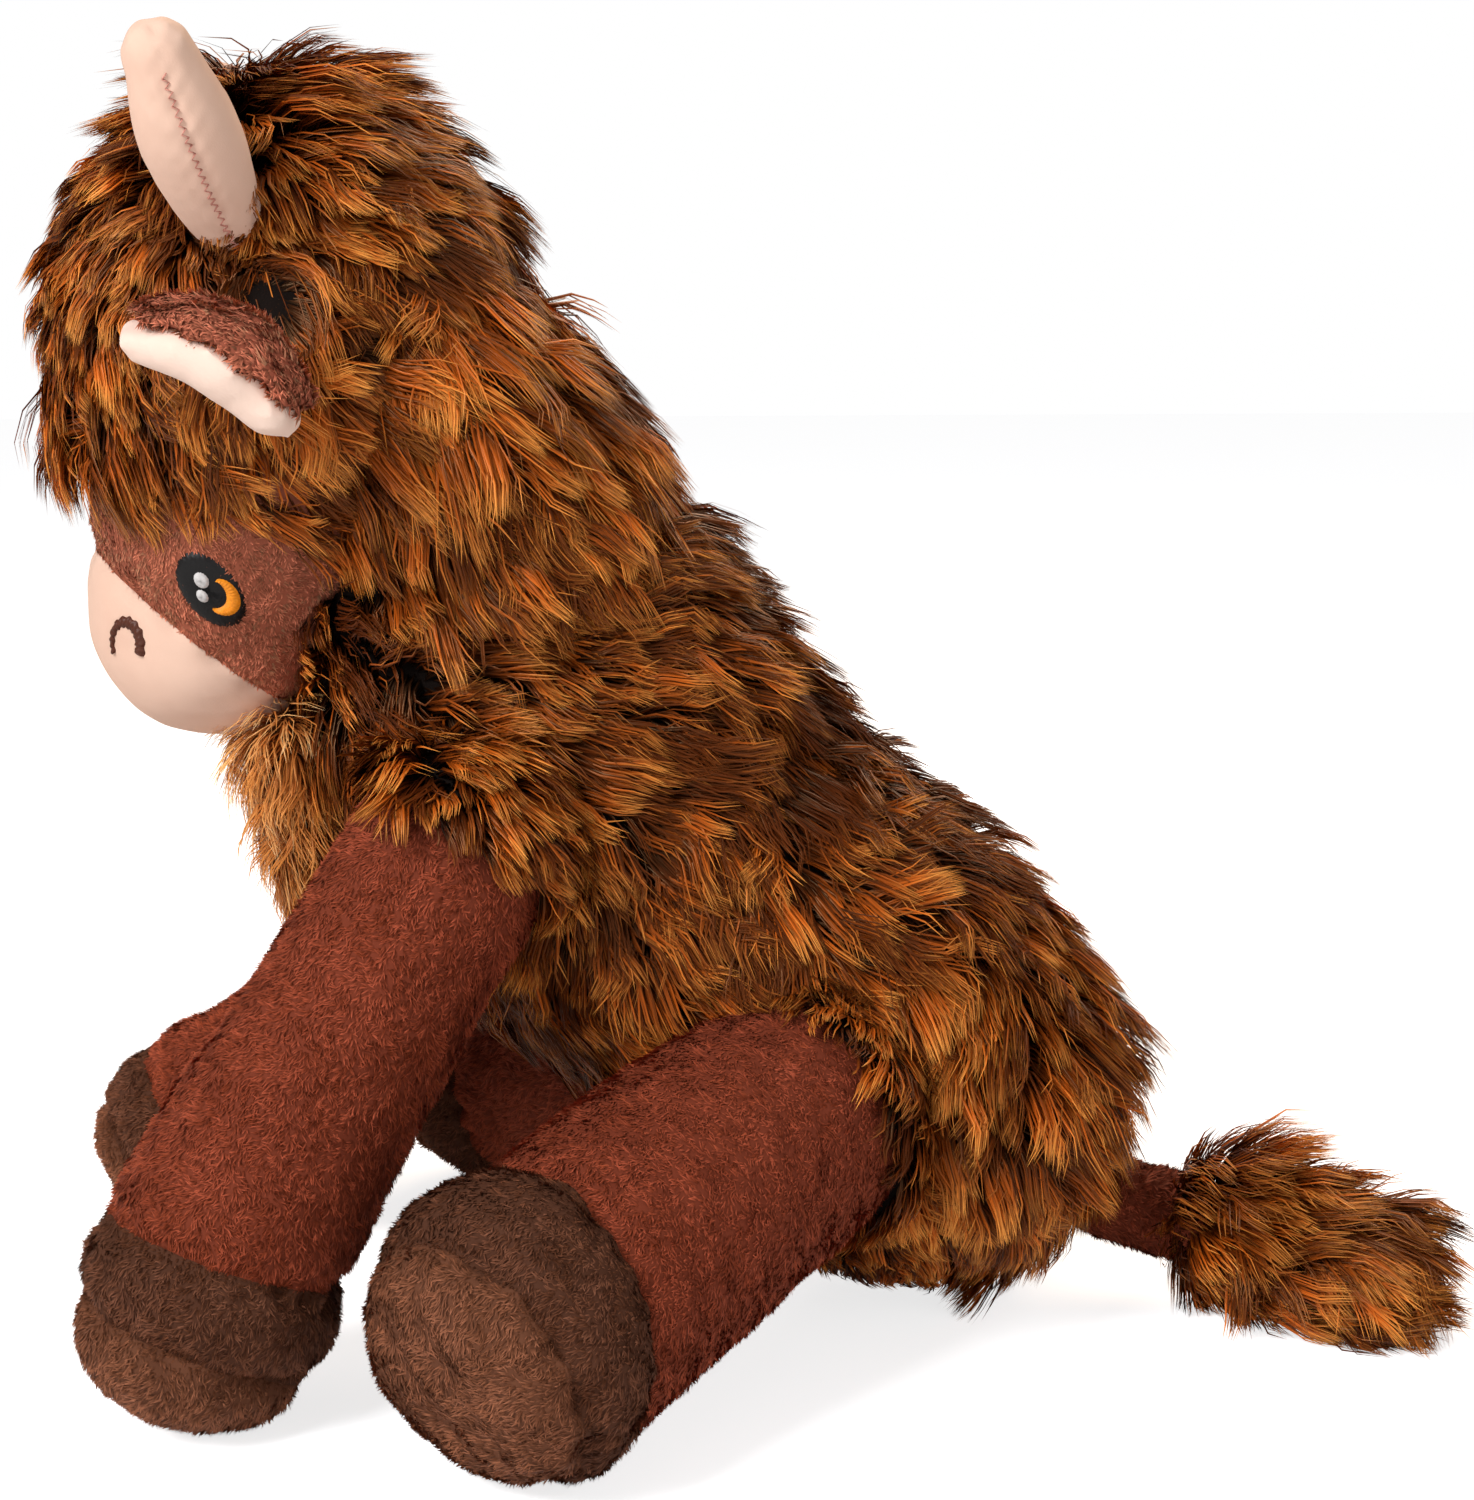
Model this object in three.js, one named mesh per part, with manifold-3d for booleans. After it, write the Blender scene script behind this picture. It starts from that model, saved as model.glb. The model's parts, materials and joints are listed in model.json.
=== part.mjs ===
// Plush highland cow dog toy, sitting, about 22 cm tall. Millimetres, +Z up, the face towards -Y.
// Its left side is +X. It stands on its rump, its hooves and the tuft of its tail, and the origin is
// the middle of the box round it, on the surface that it stands on.
// Every cover is a sewn shell of cloth or of long fur, over a filling of loose fibre.
import * as THREE from "three";
import { mergeVertices } from "three/addons/utils/BufferGeometryUtils.js";
import Module from "manifold-3d";

// Cloth, and the clearances between pieces
const FUR = 11; // long pile with its backing, to the middle of its outer surface
const MINKY = 2.2; // short-pile cloth of legs, face, tail and ear backs
const VELBOA = 1.4; // smooth cloth of muzzle and horns
const THREAD = 0.7; // height of embroidery
const GAP = 0.3; // between pieces that touch
const SEAT_GAP = 0.4; // between a limb's root and its seat
const FLAT_DEPTH = 0.5; // the flat that each form stands on

// Torso: stations from the neck to the rump. y is forwards or back, z is height before it is let down.
const NECK = { y: -44, z: 134, wide: 36, deep: 40 };
const CHEST = { y: -32, z: 107, wide: 40, deep: 45 };
const FLANK = { y: -10, z: 82, wide: 41, deep: 42 };
const WAIST = { y: 14.5, z: 61.5, wide: 42, deep: 41.5 };
const RUMP = { y: 32, z: 40, wide: 44, deep: 40 };
const NECK_DOME = 31;
const RUMP_DOME = 36;

// Mane: the longer fur of the nape, from the head down to a step over the shoulders.
// Its stations are places behind and above the head's middle.
const MANE = [
  { behind: 15, above: -2, wide: 37, deep: 28 },
  { behind: 29, above: -22, wide: 40, deep: 30 },
  { behind: 35, above: -34, wide: 41, deep: 34 },
  { behind: 38, above: -48, wide: 43, deep: 40 },
];
const MANE_DOME = 18;
const MANE_EDGE = { y: -2, z: 133, tilt: 12 }; // degrees

// Belly panel of short pile on the underside, between the legs
const BELLY = { place: 0.6, halfLength: 30, halfWidth: 24, below: 12 };

// Tan fur at the throat
const BIB = { place: 0.1, length: 36, wide: 17, deep: 9 };

// Squeaker: a blown bulb with a reed pressed into its mouth
const BULB = { place: 0.52, radius: 16, halfHeight: 10, wall: 1.2 };
const REED = { radius: 4, flange: 5.4, flangeHeight: 1.2, bore: 1.2, length: 7 };
const POCKET_SLACK = 2;

// Head: a ball of fur over a stuffed core that narrows into the face
const HEAD = { y: -76, z: 176.5, radius: 43.5, wide: 43, core: 32.5 };
const HEAD_LIFT = 20; // degrees
const HEAD_DROP = 4;
const CHEEK = { y: -4, z: -24, wide: 29, deep: 28.5 };
const NOSE_BRIDGE = { y: -11, z: -40, wide: 24.5, deep: 23.5 };
const MUZZLE = { y: -16.5, z: -51, radius: 20, dome: 18.5, tilt: 50 };
const FACE_EDGE = { y: -8, z: -27, steepness: 62 }; // where the fur hood ends and the face shows
const FORELOCK = { halfWidth: 26, front: 14, bottom: 18 };

// Embroidery
const EYE = { across: 9.4, tall: 14.5, side: 82, tilt: 32, rim: 1.2, iris: 2.2, shift: 1 };
const EYE_PLACE = { behind: 2.5, above: 0.3 }; // from the nose bridge
const GLINT = { across: 3.2, tall: 4 };
const NOSTRIL = { radius: 3.9, stroke: 1.7, side: 61, rise: 1.4 };

// Horns, from the head's core outwards and up
const HORN = { length: 45, radius: 8.2, root: 5.2, side: 70, rise: 54, bow: 2.6, sunk: 4, flat: 0.86 };

// Ears: a padded back and a padded lining, sewn together at the root
const EAR = { length: 32, halfWidth: 17, back: 6, lining: 8, cup: 5, root: 4.5, sunk: 3, flop: 20 };

// Legs: sleeve, hoof band and sole
const FORELEG = { length: 92, root: 17, knee: 17.6, ankle: 18.8, hoof: 20.9, sole: 18.6, dome: 6.5 };
// Feet: two angles, then two lengths from the toe
const LEFT_FOREFOOT = { curl: 8, seamTurn: 12, band: 21, bulge: 6 };
const RIGHT_FOREFOOT = { curl: -17, seamTurn: -8, band: 14, bulge: 0.5 };
const HINDLEG = { length: 75, root: 21, knee: 22, ankle: 21.5, hoof: 23.4, sole: 21.5, dome: 6 };
const HINDFOOT = { curl: 0, seamTurn: -14, band: 17, bulge: 1.5 };
const LEFT_SHOULDER = { place: 0.27, side: 0.84, down: 0.5 }; // shares of the torso's line and half sizes
const RIGHT_SHOULDER = { place: 0.35, side: 0.84, down: 0.5 };
const HIP = { place: 0.79, side: 0.8, down: 0.4 };
const LEFT_FORELEG_SPLAY = 20; // degrees
const RIGHT_FORELEG_SPLAY = 7;
const HINDLEG_SPLAY = 43;
const ANKLE = 0.68; // a share of the leg's length
const LEG_SWING = 15; // degrees
const SEAT_SLACK = 2; // degrees that a seat leaves past the end of a swing

// Tail
const TAIL = { radius: 8.5, length: 16, behind: 33, above: -18, turn: 28, fall: 12, swing: 25 };
const TUFT = { length: 47, radius: 17 };

// Fineness of the rounded forms
const SIDES = { torso: 20, head: 20, leg: 12, seat: 14, small: 8 };
const DOME_STEPS = 3;
const LARGE = 600; // longer than the toy

const wasm = await Module();
wasm.setup();
const UP = new THREE.Vector3(0, 0, 1);
const SIDEWAYS = new THREE.Vector3(1, 0, 0);
const radians = THREE.MathUtils.degToRad;
const point = (x, y, z) => new THREE.Vector3(x, y, z);

// A closed geometry as a solid
function solidOf(geometry) {
  const bare = geometry.clone();
  bare.deleteAttribute("normal");
  bare.deleteAttribute("uv");
  const merged = mergeVertices(bare, 1e-4);
  return new wasm.Manifold(
    new wasm.Mesh({
      numProp: 3,
      vertProperties: merged.attributes.position.array,
      triVerts: new Uint32Array(merged.index.array),
    }),
  );
}

function geometryOf(solid) {
  const mesh = solid.getMesh();
  const geometry = new THREE.BufferGeometry();
  geometry.setAttribute("position", new THREE.BufferAttribute(mesh.vertProperties, 3));
  geometry.setIndex(new THREE.BufferAttribute(mesh.triVerts, 1));
  geometry.computeVertexNormals();
  return geometry;
}

// The line through the stations, and the half width and half depth along it
function lineThrough(stations) {
  return new THREE.CatmullRomCurve3(stations.map((s) => s.at), false, "catmullrom");
}

function sizesThrough(stations) {
  return new THREE.CatmullRomCurve3(stations.map((s) => point(s.wide, s.deep, 0)), false, "catmullrom");
}

// A stuffed form: rings round the line through its stations, with a dome at each end
function softForm(stations, { sides, steps, startDome, endDome, across = SIDEWAYS, grow = 0, cup = 0 }) {
  const line = lineThrough(stations);
  const sizes = sizesThrough(stations);
  const rings = [];
  const addRing = (u, beyond, share) => {
    const along = line.getTangent(u);
    const size = sizes.getPoint(u);
    const wide = across.clone().addScaledVector(along, -across.dot(along)).normalize();
    const deep = along.clone().cross(wide);
    rings.push({
      middle: line.getPoint(u).addScaledVector(along, beyond),
      wide: wide.multiplyScalar((size.x + grow) * share),
      deep: deep.clone().multiplyScalar((size.y + grow) * share),
      cup: deep.multiplyScalar(-cup * share),
    });
  };
  for (let i = 1; i < DOME_STEPS; i++) {
    const turn = (Math.PI / 2) * (i / DOME_STEPS);
    addRing(0, -(startDome + grow) * Math.cos(turn), Math.sin(turn));
  }
  for (let i = 0; i <= steps; i++) addRing(i / steps, 0, 1);
  for (let i = DOME_STEPS - 1; i > 0; i--) {
    const turn = (Math.PI / 2) * (i / DOME_STEPS);
    addRing(1, (endDome + grow) * Math.cos(turn), Math.sin(turn));
  }
  const points = [line.getPoint(0).addScaledVector(line.getTangent(0), -(startDome + grow))];
  for (const ring of rings) {
    for (let j = 0; j < sides; j++) {
      const turn = (2 * Math.PI * j) / sides;
      points.push(
        ring.middle
          .clone()
          .addScaledVector(ring.wide, Math.cos(turn))
          .addScaledVector(ring.deep, Math.sin(turn))
          .addScaledVector(ring.cup, Math.cos(turn) ** 2),
      );
    }
  }
  points.push(line.getPoint(1).addScaledVector(line.getTangent(1), endDome + grow));
  const faces = [];
  const corner = (ring, j) => 1 + ring * sides + (j % sides);
  for (let j = 0; j < sides; j++) {
    faces.push(0, corner(0, j + 1), corner(0, j));
    faces.push(points.length - 1, corner(rings.length - 1, j), corner(rings.length - 1, j + 1));
    for (let r = 0; r < rings.length - 1; r++) {
      faces.push(corner(r, j), corner(r, j + 1), corner(r + 1, j));
      faces.push(corner(r + 1, j), corner(r, j + 1), corner(r + 1, j + 1));
    }
  }
  const geometry = new THREE.BufferGeometry().setFromPoints(points);
  geometry.setIndex(faces);
  return solidOf(geometry);
}

// Everything on the side of a plane that its normal points to
function beyond(onPlane, normal) {
  const box = new THREE.BoxGeometry(LARGE, LARGE, LARGE).translate(0, 0, LARGE / 2);
  box.applyQuaternion(new THREE.Quaternion().setFromUnitVectors(UP, normal.clone().normalize()));
  return solidOf(box.translate(onPlane.x, onPlane.y, onPlane.z));
}

// A turned form: an outline of [radius, height] pairs from the bottom up, stood on a point
function turned(outline, foot, direction, sides) {
  const lathe = new THREE.LatheGeometry(outline.map(([r, h]) => new THREE.Vector2(r, h)), sides);
  const axis = direction.clone().normalize();
  lathe.applyQuaternion(new THREE.Quaternion().setFromUnitVectors(point(0, 1, 0), axis));
  return solidOf(lathe.translate(foot.x, foot.y, foot.z));
}

// The corner radius of a polygon that goes round a circle
function outsideFacets(radius, sides) {
  return radius / Math.cos(Math.PI / sides);
}

// The hollow that a sewn root turns in: a ball seat that flares, so that the limb can lean
function rootSeat(centre, direction, rootRadius, lean) {
  const flare = radians(lean);
  const flareLength = 100;
  const arcSteps = 4;
  const halfStep = (Math.PI / 2 - flare) / arcSteps / 2;
  const radius = outsideFacets(rootRadius + SEAT_GAP, SIDES.seat) / Math.cos(halfStep);
  const outline = [[0, -radius]];
  for (let i = 1; i <= arcSteps; i++) {
    const turn = -Math.PI / 2 + (Math.PI / 2 - flare) * (i / arcSteps);
    outline.push([radius * Math.cos(turn), radius * Math.sin(turn)]);
  }
  const mouth = flareLength * Math.cos(flare) - radius * Math.sin(flare);
  outline.push([radius * Math.cos(flare) + flareLength * Math.sin(flare), mouth], [0, mouth]);
  return turned(outline, centre, direction, SIDES.seat);
}

const FLOOR = beyond(point(0, 0, 0), UP.clone().negate());
const looks = {
  longFur: { color: 0x8a4a1c, roughness: 0.75 },
  tanFur: { color: 0xb57a3c, roughness: 0.8 },
  rust: { color: 0x7d3a28, roughness: 0.95 },
  hoof: { color: 0x4a2e22, roughness: 0.95 },
  sole: { color: 0x6b4231, roughness: 0.95 },
  peach: { color: 0xe6c4b4, roughness: 0.85 },
  fibre: { color: 0xf2f0ea, roughness: 1 },
  black: { color: 0x14110f, roughness: 0.6 },
  amber: { color: 0xf08a1c, roughness: 0.6 },
  white: { color: 0xeceae6, roughness: 0.6 },
  nostril: { color: 0x5a2c1c, roughness: 0.7 },
  plastic: { color: 0xf0f0ee, roughness: 0.4 },
};
const toy = new THREE.Group();
const pivots = {}; // where each moving body turns

function keep(name, solid, look) {
  const material = new THREE.MeshStandardMaterial({ metalness: 0, ...looks[look] });
  const mesh = new THREE.Mesh(geometryOf(solid), material);
  mesh.name = name;
  toy.add(mesh);
}

// Torso, let down until its rump stands on the floor
const torsoSizes = [NECK, CHEST, FLANK, WAIST, RUMP];
const torsoStations = torsoSizes.map((s) => ({ at: point(0, s.y, s.z), wide: s.wide, deep: s.deep }));
const torsoForm = (grow) =>
  softForm(torsoStations, {
    sides: SIDES.torso,
    steps: 7,
    startDome: NECK_DOME,
    endDome: RUMP_DOME,
    grow,
  });
const torsoDrop = torsoForm(0).boundingBox().min[2] + FLAT_DEPTH;
for (const station of torsoStations) station.at.z -= torsoDrop;
const torsoLine = lineThrough(torsoStations);
const torsoGirth = sizesThrough(torsoStations);
const bellyward = (place) => torsoLine.getTangent(place).cross(SIDEWAYS);

// A point of the torso: a share of its line, then sideways and bellywards by shares of its half sizes
function torsoPoint(place, side, down) {
  const girth = torsoGirth.getPoint(place);
  return torsoLine
    .getPoint(place)
    .addScaledVector(SIDEWAYS, girth.x * side)
    .addScaledVector(bellyward(place), girth.y * down);
}

const head = point(0, HEAD.y, HEAD.z - torsoDrop);

// Legs. Each leaves its root sideways by its splay, and slopes down until its hoof stands on the floor.
// Its foot curls from the leg's direction towards straight down.
function turnedDown(direction, angle) {
  const downward = UP.clone().negate().addScaledVector(direction, direction.z).normalize();
  return direction
    .clone()
    .multiplyScalar(Math.cos(radians(angle)))
    .addScaledVector(downward, Math.sin(radians(angle)));
}

function onLeg(root, direction, size, distance) {
  const ankle = size.length * ANKLE;
  return root
    .clone()
    .addScaledVector(direction, Math.min(distance, ankle))
    .addScaledVector(turnedDown(direction, size.curl), Math.max(distance - ankle, 0));
}

function legForm(root, direction, size, grow) {
  const station = (share, radius) => ({
    at: onLeg(root, direction, size, size.length * share),
    wide: radius,
    deep: radius,
  });
  const stations = [
    station(0, size.root),
    station(0.4, size.knee),
    station(ANKLE, size.ankle),
    station(0.86, size.hoof),
    station(1, size.sole),
  ];
  return softForm(stations, {
    sides: SIDES.leg,
    steps: 6,
    startDome: size.root,
    endDome: size.dome,
    across: UP.clone().cross(direction).normalize(),
    grow,
  });
}

function legDirection(side, splay, slope) {
  const level = Math.cos(slope);
  const turn = radians(splay);
  return point(side * Math.sin(turn) * level, -Math.cos(turn) * level, -Math.sin(slope));
}

function standingDirection(root, size, side, splay) {
  let flatter = 0;
  let steeper = Math.PI / 2;
  const halvings = 16;
  for (let i = 0; i < halvings; i++) {
    const slope = (flatter + steeper) / 2;
    const lowest = legForm(root, legDirection(side, splay, slope), size, 0).boundingBox().min[2];
    if (lowest > -FLAT_DEPTH) flatter = slope;
    else steeper = slope;
  }
  return legDirection(side, splay, steeper);
}

const seats = [];
function addLeg(name, root, size, side, splay) {
  const direction = standingDirection(root, size, side, splay);
  const form = (grow) => legForm(root, direction, size, grow);
  const cover = form(0).subtract(FLOOR).subtract(form(-MINKY));
  const foot = turnedDown(direction, size.curl);
  const bandNormal = turnedDown(direction, size.seamTurn);
  const bandEdge = onLeg(root, direction, size, size.length - size.band);
  const soleEdge = onLeg(root, direction, size, size.length - size.bulge);
  const band = beyond(bandEdge.clone().addScaledVector(bandNormal, GAP), bandNormal);
  const sole = beyond(soleEdge.clone().addScaledVector(foot, GAP), foot);
  keep(`${name}_sleeve`, cover.subtract(beyond(bandEdge, bandNormal)), "rust");
  keep(`${name}_hoof_band`, cover.intersect(band).subtract(beyond(soleEdge, foot)), "hoof");
  keep(`${name}_sole`, cover.intersect(sole), "sole");
  keep(`${name}_filling`, form(-MINKY - GAP), "fibre");
  seats.push(rootSeat(root, direction, size.root, LEG_SWING + SEAT_SLACK));
  pivots[name] = root;
}

for (const [sideName, side] of [["left", 1], ["right", -1]]) {
  const at = side > 0 ? LEFT_SHOULDER : RIGHT_SHOULDER;
  const shoulder = torsoPoint(at.place, at.side * side, at.down);
  const hip = torsoPoint(HIP.place, HIP.side * side, HIP.down);
  const splay = side > 0 ? LEFT_FORELEG_SPLAY : RIGHT_FORELEG_SPLAY;
  const forefoot = side > 0 ? LEFT_FOREFOOT : RIGHT_FOREFOOT;
  addLeg(`foreleg_${sideName}`, shoulder, { ...FORELEG, ...forefoot }, side, splay);
  addLeg(`hindleg_${sideName}`, hip, { ...HINDLEG, ...HINDFOOT }, side, HINDLEG_SPLAY);
}

// Tail: a stuffed tube that ends in a tuft of fur lying on the floor
const rump = torsoLine.getPoint(1);
const tailRoot = rump.clone().add(point(0, TAIL.behind, TAIL.above));
const tailDirection = point(
  Math.sin(radians(TAIL.turn)) * Math.cos(radians(TAIL.fall)),
  Math.cos(radians(TAIL.turn)) * Math.cos(radians(TAIL.fall)),
  -Math.sin(radians(TAIL.fall)),
);
const onTail = (distance) => tailRoot.clone().addScaledVector(tailDirection, distance);
function tailForm(grow) {
  const station = (distance) => ({ at: onTail(distance), wide: TAIL.radius, deep: TAIL.radius });
  return softForm([station(0), station(TAIL.length / 2), station(TAIL.length)], {
    sides: SIDES.leg,
    steps: 2,
    startDome: TAIL.radius,
    endDome: TAIL.radius,
    grow,
  });
}
const pastTail = beyond(onTail(TAIL.length - GAP), tailDirection);
const tuftStation = (share, girth, sink) => {
  const at = onTail(TAIL.length + TUFT.length * share);
  const radius = TUFT.radius * girth;
  at.z = THREE.MathUtils.lerp(at.z, radius - FLAT_DEPTH, sink);
  return { at, wide: radius, deep: radius };
};
const tuftStations = [tuftStation(0.1, 0.75, 0.2), tuftStation(0.36, 1, 1)];
tuftStations.push(tuftStation(0.66, 0.97, 1), tuftStation(0.88, 0.66, 1));
const tuftForm = softForm(tuftStations, { sides: SIDES.leg, steps: 5, startDome: 4, endDome: 6 });
keep("tail_sleeve", tailForm(0).subtract(tailForm(-MINKY)).subtract(pastTail), "rust");
keep("tail_filling", tailForm(-MINKY - GAP).subtract(pastTail), "fibre");
const tuftEdge = beyond(onTail(TAIL.length), tailDirection.clone().negate());
keep("tail_tuft", tuftForm.subtract(FLOOR).subtract(tuftEdge), "longFur");
seats.push(rootSeat(tailRoot, tailDirection, TAIL.radius, TAIL.swing + SEAT_SLACK));
pivots.tail = tailRoot;

// Head core and face: the ball of the head runs down and forwards into the muzzle
const fromHead = (y, z) => head.clone().add(point(0, y, z));
const faceStations = [
  { at: fromHead(0, 0), wide: HEAD.core, deep: HEAD.core },
  { at: fromHead(CHEEK.y, CHEEK.z), wide: CHEEK.wide, deep: CHEEK.deep },
  { at: fromHead(NOSE_BRIDGE.y, NOSE_BRIDGE.z), wide: NOSE_BRIDGE.wide, deep: NOSE_BRIDGE.deep },
  { at: fromHead(MUZZLE.y, MUZZLE.z), wide: MUZZLE.radius, deep: MUZZLE.radius },
];
const faceForm = (grow) =>
  softForm(faceStations, {
    sides: SIDES.head,
    steps: 5,
    startDome: HEAD.core,
    endDome: MUZZLE.dome,
    grow,
  });
const muzzle = faceStations[3].at;
const muzzleAxis = point(0, -Math.cos(radians(MUZZLE.tilt)), -Math.sin(radians(MUZZLE.tilt)));
const muzzleSide = beyond(muzzle.clone().addScaledVector(muzzleAxis, GAP), muzzleAxis);
const faceEdge = fromHead(FACE_EDGE.y, FACE_EDGE.z);
const edgeTilt = radians(FACE_EDGE.steepness);
const faceward = point(0, -Math.cos(edgeTilt), -Math.sin(edgeTilt));
const faceShell = faceForm(0).subtract(faceForm(-MINKY));
const faceSide = beyond(faceEdge, faceward);
keep("face_panel", faceShell.intersect(faceSide).subtract(beyond(muzzle, muzzleAxis)), "rust");
keep("muzzle_cover", faceForm(0).subtract(faceForm(-VELBOA)).intersect(muzzleSide), "peach");
keep("head_filling", faceForm(-MINKY - GAP), "fibre");
pivots.head = head;

// A ball about the line that the head nods on
function headBall(radius, wide) {
  const ball = new THREE.SphereGeometry(1, SIDES.head, SIDES.head / 2).rotateZ(Math.PI / 2);
  return solidOf(ball.scale(wide, radius, radius).translate(head.x, head.y, head.z));
}

// Horns
function hornForm(side, grow) {
  const spread = radians(HORN.side);
  const rise = radians(HORN.rise);
  const outward = point(side * Math.sin(spread), -0.12, Math.cos(spread)).normalize();
  const root = head.clone().addScaledVector(outward, HEAD.core - HORN.sunk);
  const direction = point(side * Math.cos(rise), -0.22, Math.sin(rise)).normalize();
  const inward = point(-side * Math.sin(rise), 0, Math.cos(rise)).normalize();
  const onHorn = (share) => root.clone().addScaledVector(direction, HORN.length * share);
  const station = (share, girth, bow) => ({
    at: onHorn(share).addScaledVector(inward, -HORN.bow * bow),
    wide: HORN.radius * girth,
    deep: HORN.radius * girth * HORN.flat,
  });
  const stations = [station(0, HORN.root / HORN.radius, 0), station(0.34, 0.85, 0.8)];
  stations.push(station(0.62, 1, 1), station(0.88, 0.8, 0.4));
  return softForm(stations, {
    sides: SIDES.small,
    steps: 5,
    startDome: 2,
    endDome: HORN.length * 0.12,
    across: point(0, 1, 0),
    grow,
  });
}

// Ears, which point sideways with their hollow to the front and down
const earOut = (side) => point(side * 0.97, -0.2, -0.1).normalize();
const earRoot = (side) =>
  head.clone().addScaledVector(point(side, 0.03, 0.05).normalize(), HEAD.radius - EAR.sunk);
function earForm(side, middle, thickness, width, grow) {
  const out = earOut(side);
  const slant = point(0, 0.88, -0.47);
  const across = slant.clone().addScaledVector(out, -slant.dot(out)).normalize();
  const back = out.clone().cross(across);
  const upward = Math.sign(back.z);
  const station = (share, half, thick) => ({
    at: earRoot(side).addScaledVector(out, EAR.length * share).addScaledVector(back, upward * middle),
    wide: half,
    deep: (thickness * thick) / 2,
  });
  const stations = [station(0.3, EAR.root * 1.2, 0.55), station(0.48, EAR.halfWidth * 0.7 * width, 0.9)];
  stations.push(station(0.66, EAR.halfWidth * width, 1), station(0.84, EAR.halfWidth * 0.9 * width, 0.9));
  return softForm(stations, {
    sides: SIDES.leg,
    steps: 4,
    startDome: 3,
    endDome: EAR.length * 0.16,
    across,
    grow,
    cup: EAR.cup * upward,
  });
}

function earStem(side, grow) {
  const r = EAR.root + grow;
  const top = EAR.length * 0.3 + grow;
  const outline = [[0, -r], [r * 0.7, -r * 0.7], [r, 0], [r, top], [0, top]];
  return turned(outline, earRoot(side), earOut(side), SIDES.small);
}

const headCuts = [];
const core = headBall(HEAD.core + GAP, HEAD.core + GAP);
for (const [sideName, side] of [["left", 1], ["right", -1]]) {
  const horn = hornForm(side, 0).subtract(core);
  keep(`horn_cover_${sideName}`, horn.subtract(hornForm(side, -VELBOA)), "peach");
  keep(`horn_filling_${sideName}`, hornForm(side, -VELBOA - GAP).subtract(core), "fibre");
  headCuts.push(hornForm(side, GAP));
  const lining = (grow) => earForm(side, -EAR.lining / 2, EAR.lining, 0.94, grow);
  const back = earForm(side, EAR.back / 2, EAR.back, 1, 0).subtract(lining(GAP));
  keep(`ear_back_${sideName}`, back.add(earStem(side, 0)), "rust");
  keep(`ear_lining_${sideName}`, lining(0).subtract(earStem(side, GAP)), "peach");
  headCuts.push(rootSeat(earRoot(side), earOut(side), EAR.root, EAR.flop + SEAT_SLACK));
  pivots[`ear_${sideName}`] = earRoot(side);
}

// Hood of long fur, and the forelock that hangs over the forehead
const hoodEdge = faceEdge.clone().addScaledVector(faceward, -GAP);
const besideFace = faceForm(GAP).intersect(beyond(hoodEdge, faceward));
const hood = headCuts.reduce(
  (left, cut) => left.subtract(cut),
  headBall(HEAD.radius, HEAD.wide).subtract(faceForm(-MINKY)).subtract(besideFace),
);
function forelockSpace(grow) {
  const box = new THREE.BoxGeometry(2 * (FORELOCK.halfWidth + grow), LARGE, LARGE);
  const front = head.y - FORELOCK.front + grow;
  const bottom = head.z - FORELOCK.bottom - grow;
  return solidOf(box.translate(0, front - LARGE / 2, bottom + LARGE / 2));
}
keep("hood_fur", hood.subtract(forelockSpace(GAP)), "longFur");
keep("forelock_fur", hood.intersect(forelockSpace(0)), "longFur");

// Room in the torso for the limbs' roots, and for the head as it nods
const faceNods = [-HEAD_DROP, 0, HEAD_LIFT / 2].map((lift) => {
  const face = geometryOf(faceForm(SEAT_GAP)).translate(-head.x, -head.y, -head.z);
  return solidOf(face.rotateX(-radians(lift)).translate(head.x, head.y, head.z));
});
const headRoom = headBall(outsideFacets(HEAD.radius + SEAT_GAP, SIDES.head), HEAD.wide + SEAT_GAP);
const rooms = [...seats, headRoom, ...faceNods];
const makeRoom = (solid) => rooms.reduce((left, room) => left.subtract(room), solid);

// A box under the torso: half as wide and long as given, from `start` below the line
function underTorso(place, halfWide, halfLong, start, shift = 0) {
  const along = torsoLine.getTangent(place);
  const down = bellyward(place);
  const box = new THREE.BoxGeometry(2 * halfWide, 2 * halfLong, LARGE);
  box.translate(shift, 0, start + LARGE / 2);
  const basis = new THREE.Matrix4().makeBasis(SIDEWAYS.clone().negate(), along, down);
  return solidOf(box.applyMatrix4(basis.setPosition(torsoLine.getPoint(place))));
}
const bellySpace = (grow) =>
  underTorso(BELLY.place, BELLY.halfWidth + grow, BELLY.halfLength + grow, BELLY.below);
const maneStations = MANE.map((s) => ({ at: fromHead(s.behind, s.above), wide: s.wide, deep: s.deep }));
const mane = softForm(maneStations, {
  sides: SIDES.torso,
  steps: 5,
  startDome: MANE_DOME,
  endDome: MANE_DOME,
});
const maneUp = point(0, -Math.sin(radians(MANE_EDGE.tilt)), Math.cos(radians(MANE_EDGE.tilt)));
const maneTop = mane.intersect(beyond(point(0, MANE_EDGE.y, MANE_EDGE.z), maneUp));
const torsoInner = torsoForm(-FUR);
const furShell = torsoForm(0).add(maneTop).subtract(FLOOR).subtract(torsoInner);
keep("torso_fur", makeRoom(furShell.subtract(bellySpace(GAP))), "longFur");
const panelShell = torsoForm(MINKY - FUR).subtract(torsoInner);
keep("belly_panel", makeRoom(panelShell.intersect(bellySpace(0))), "rust");

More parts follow.
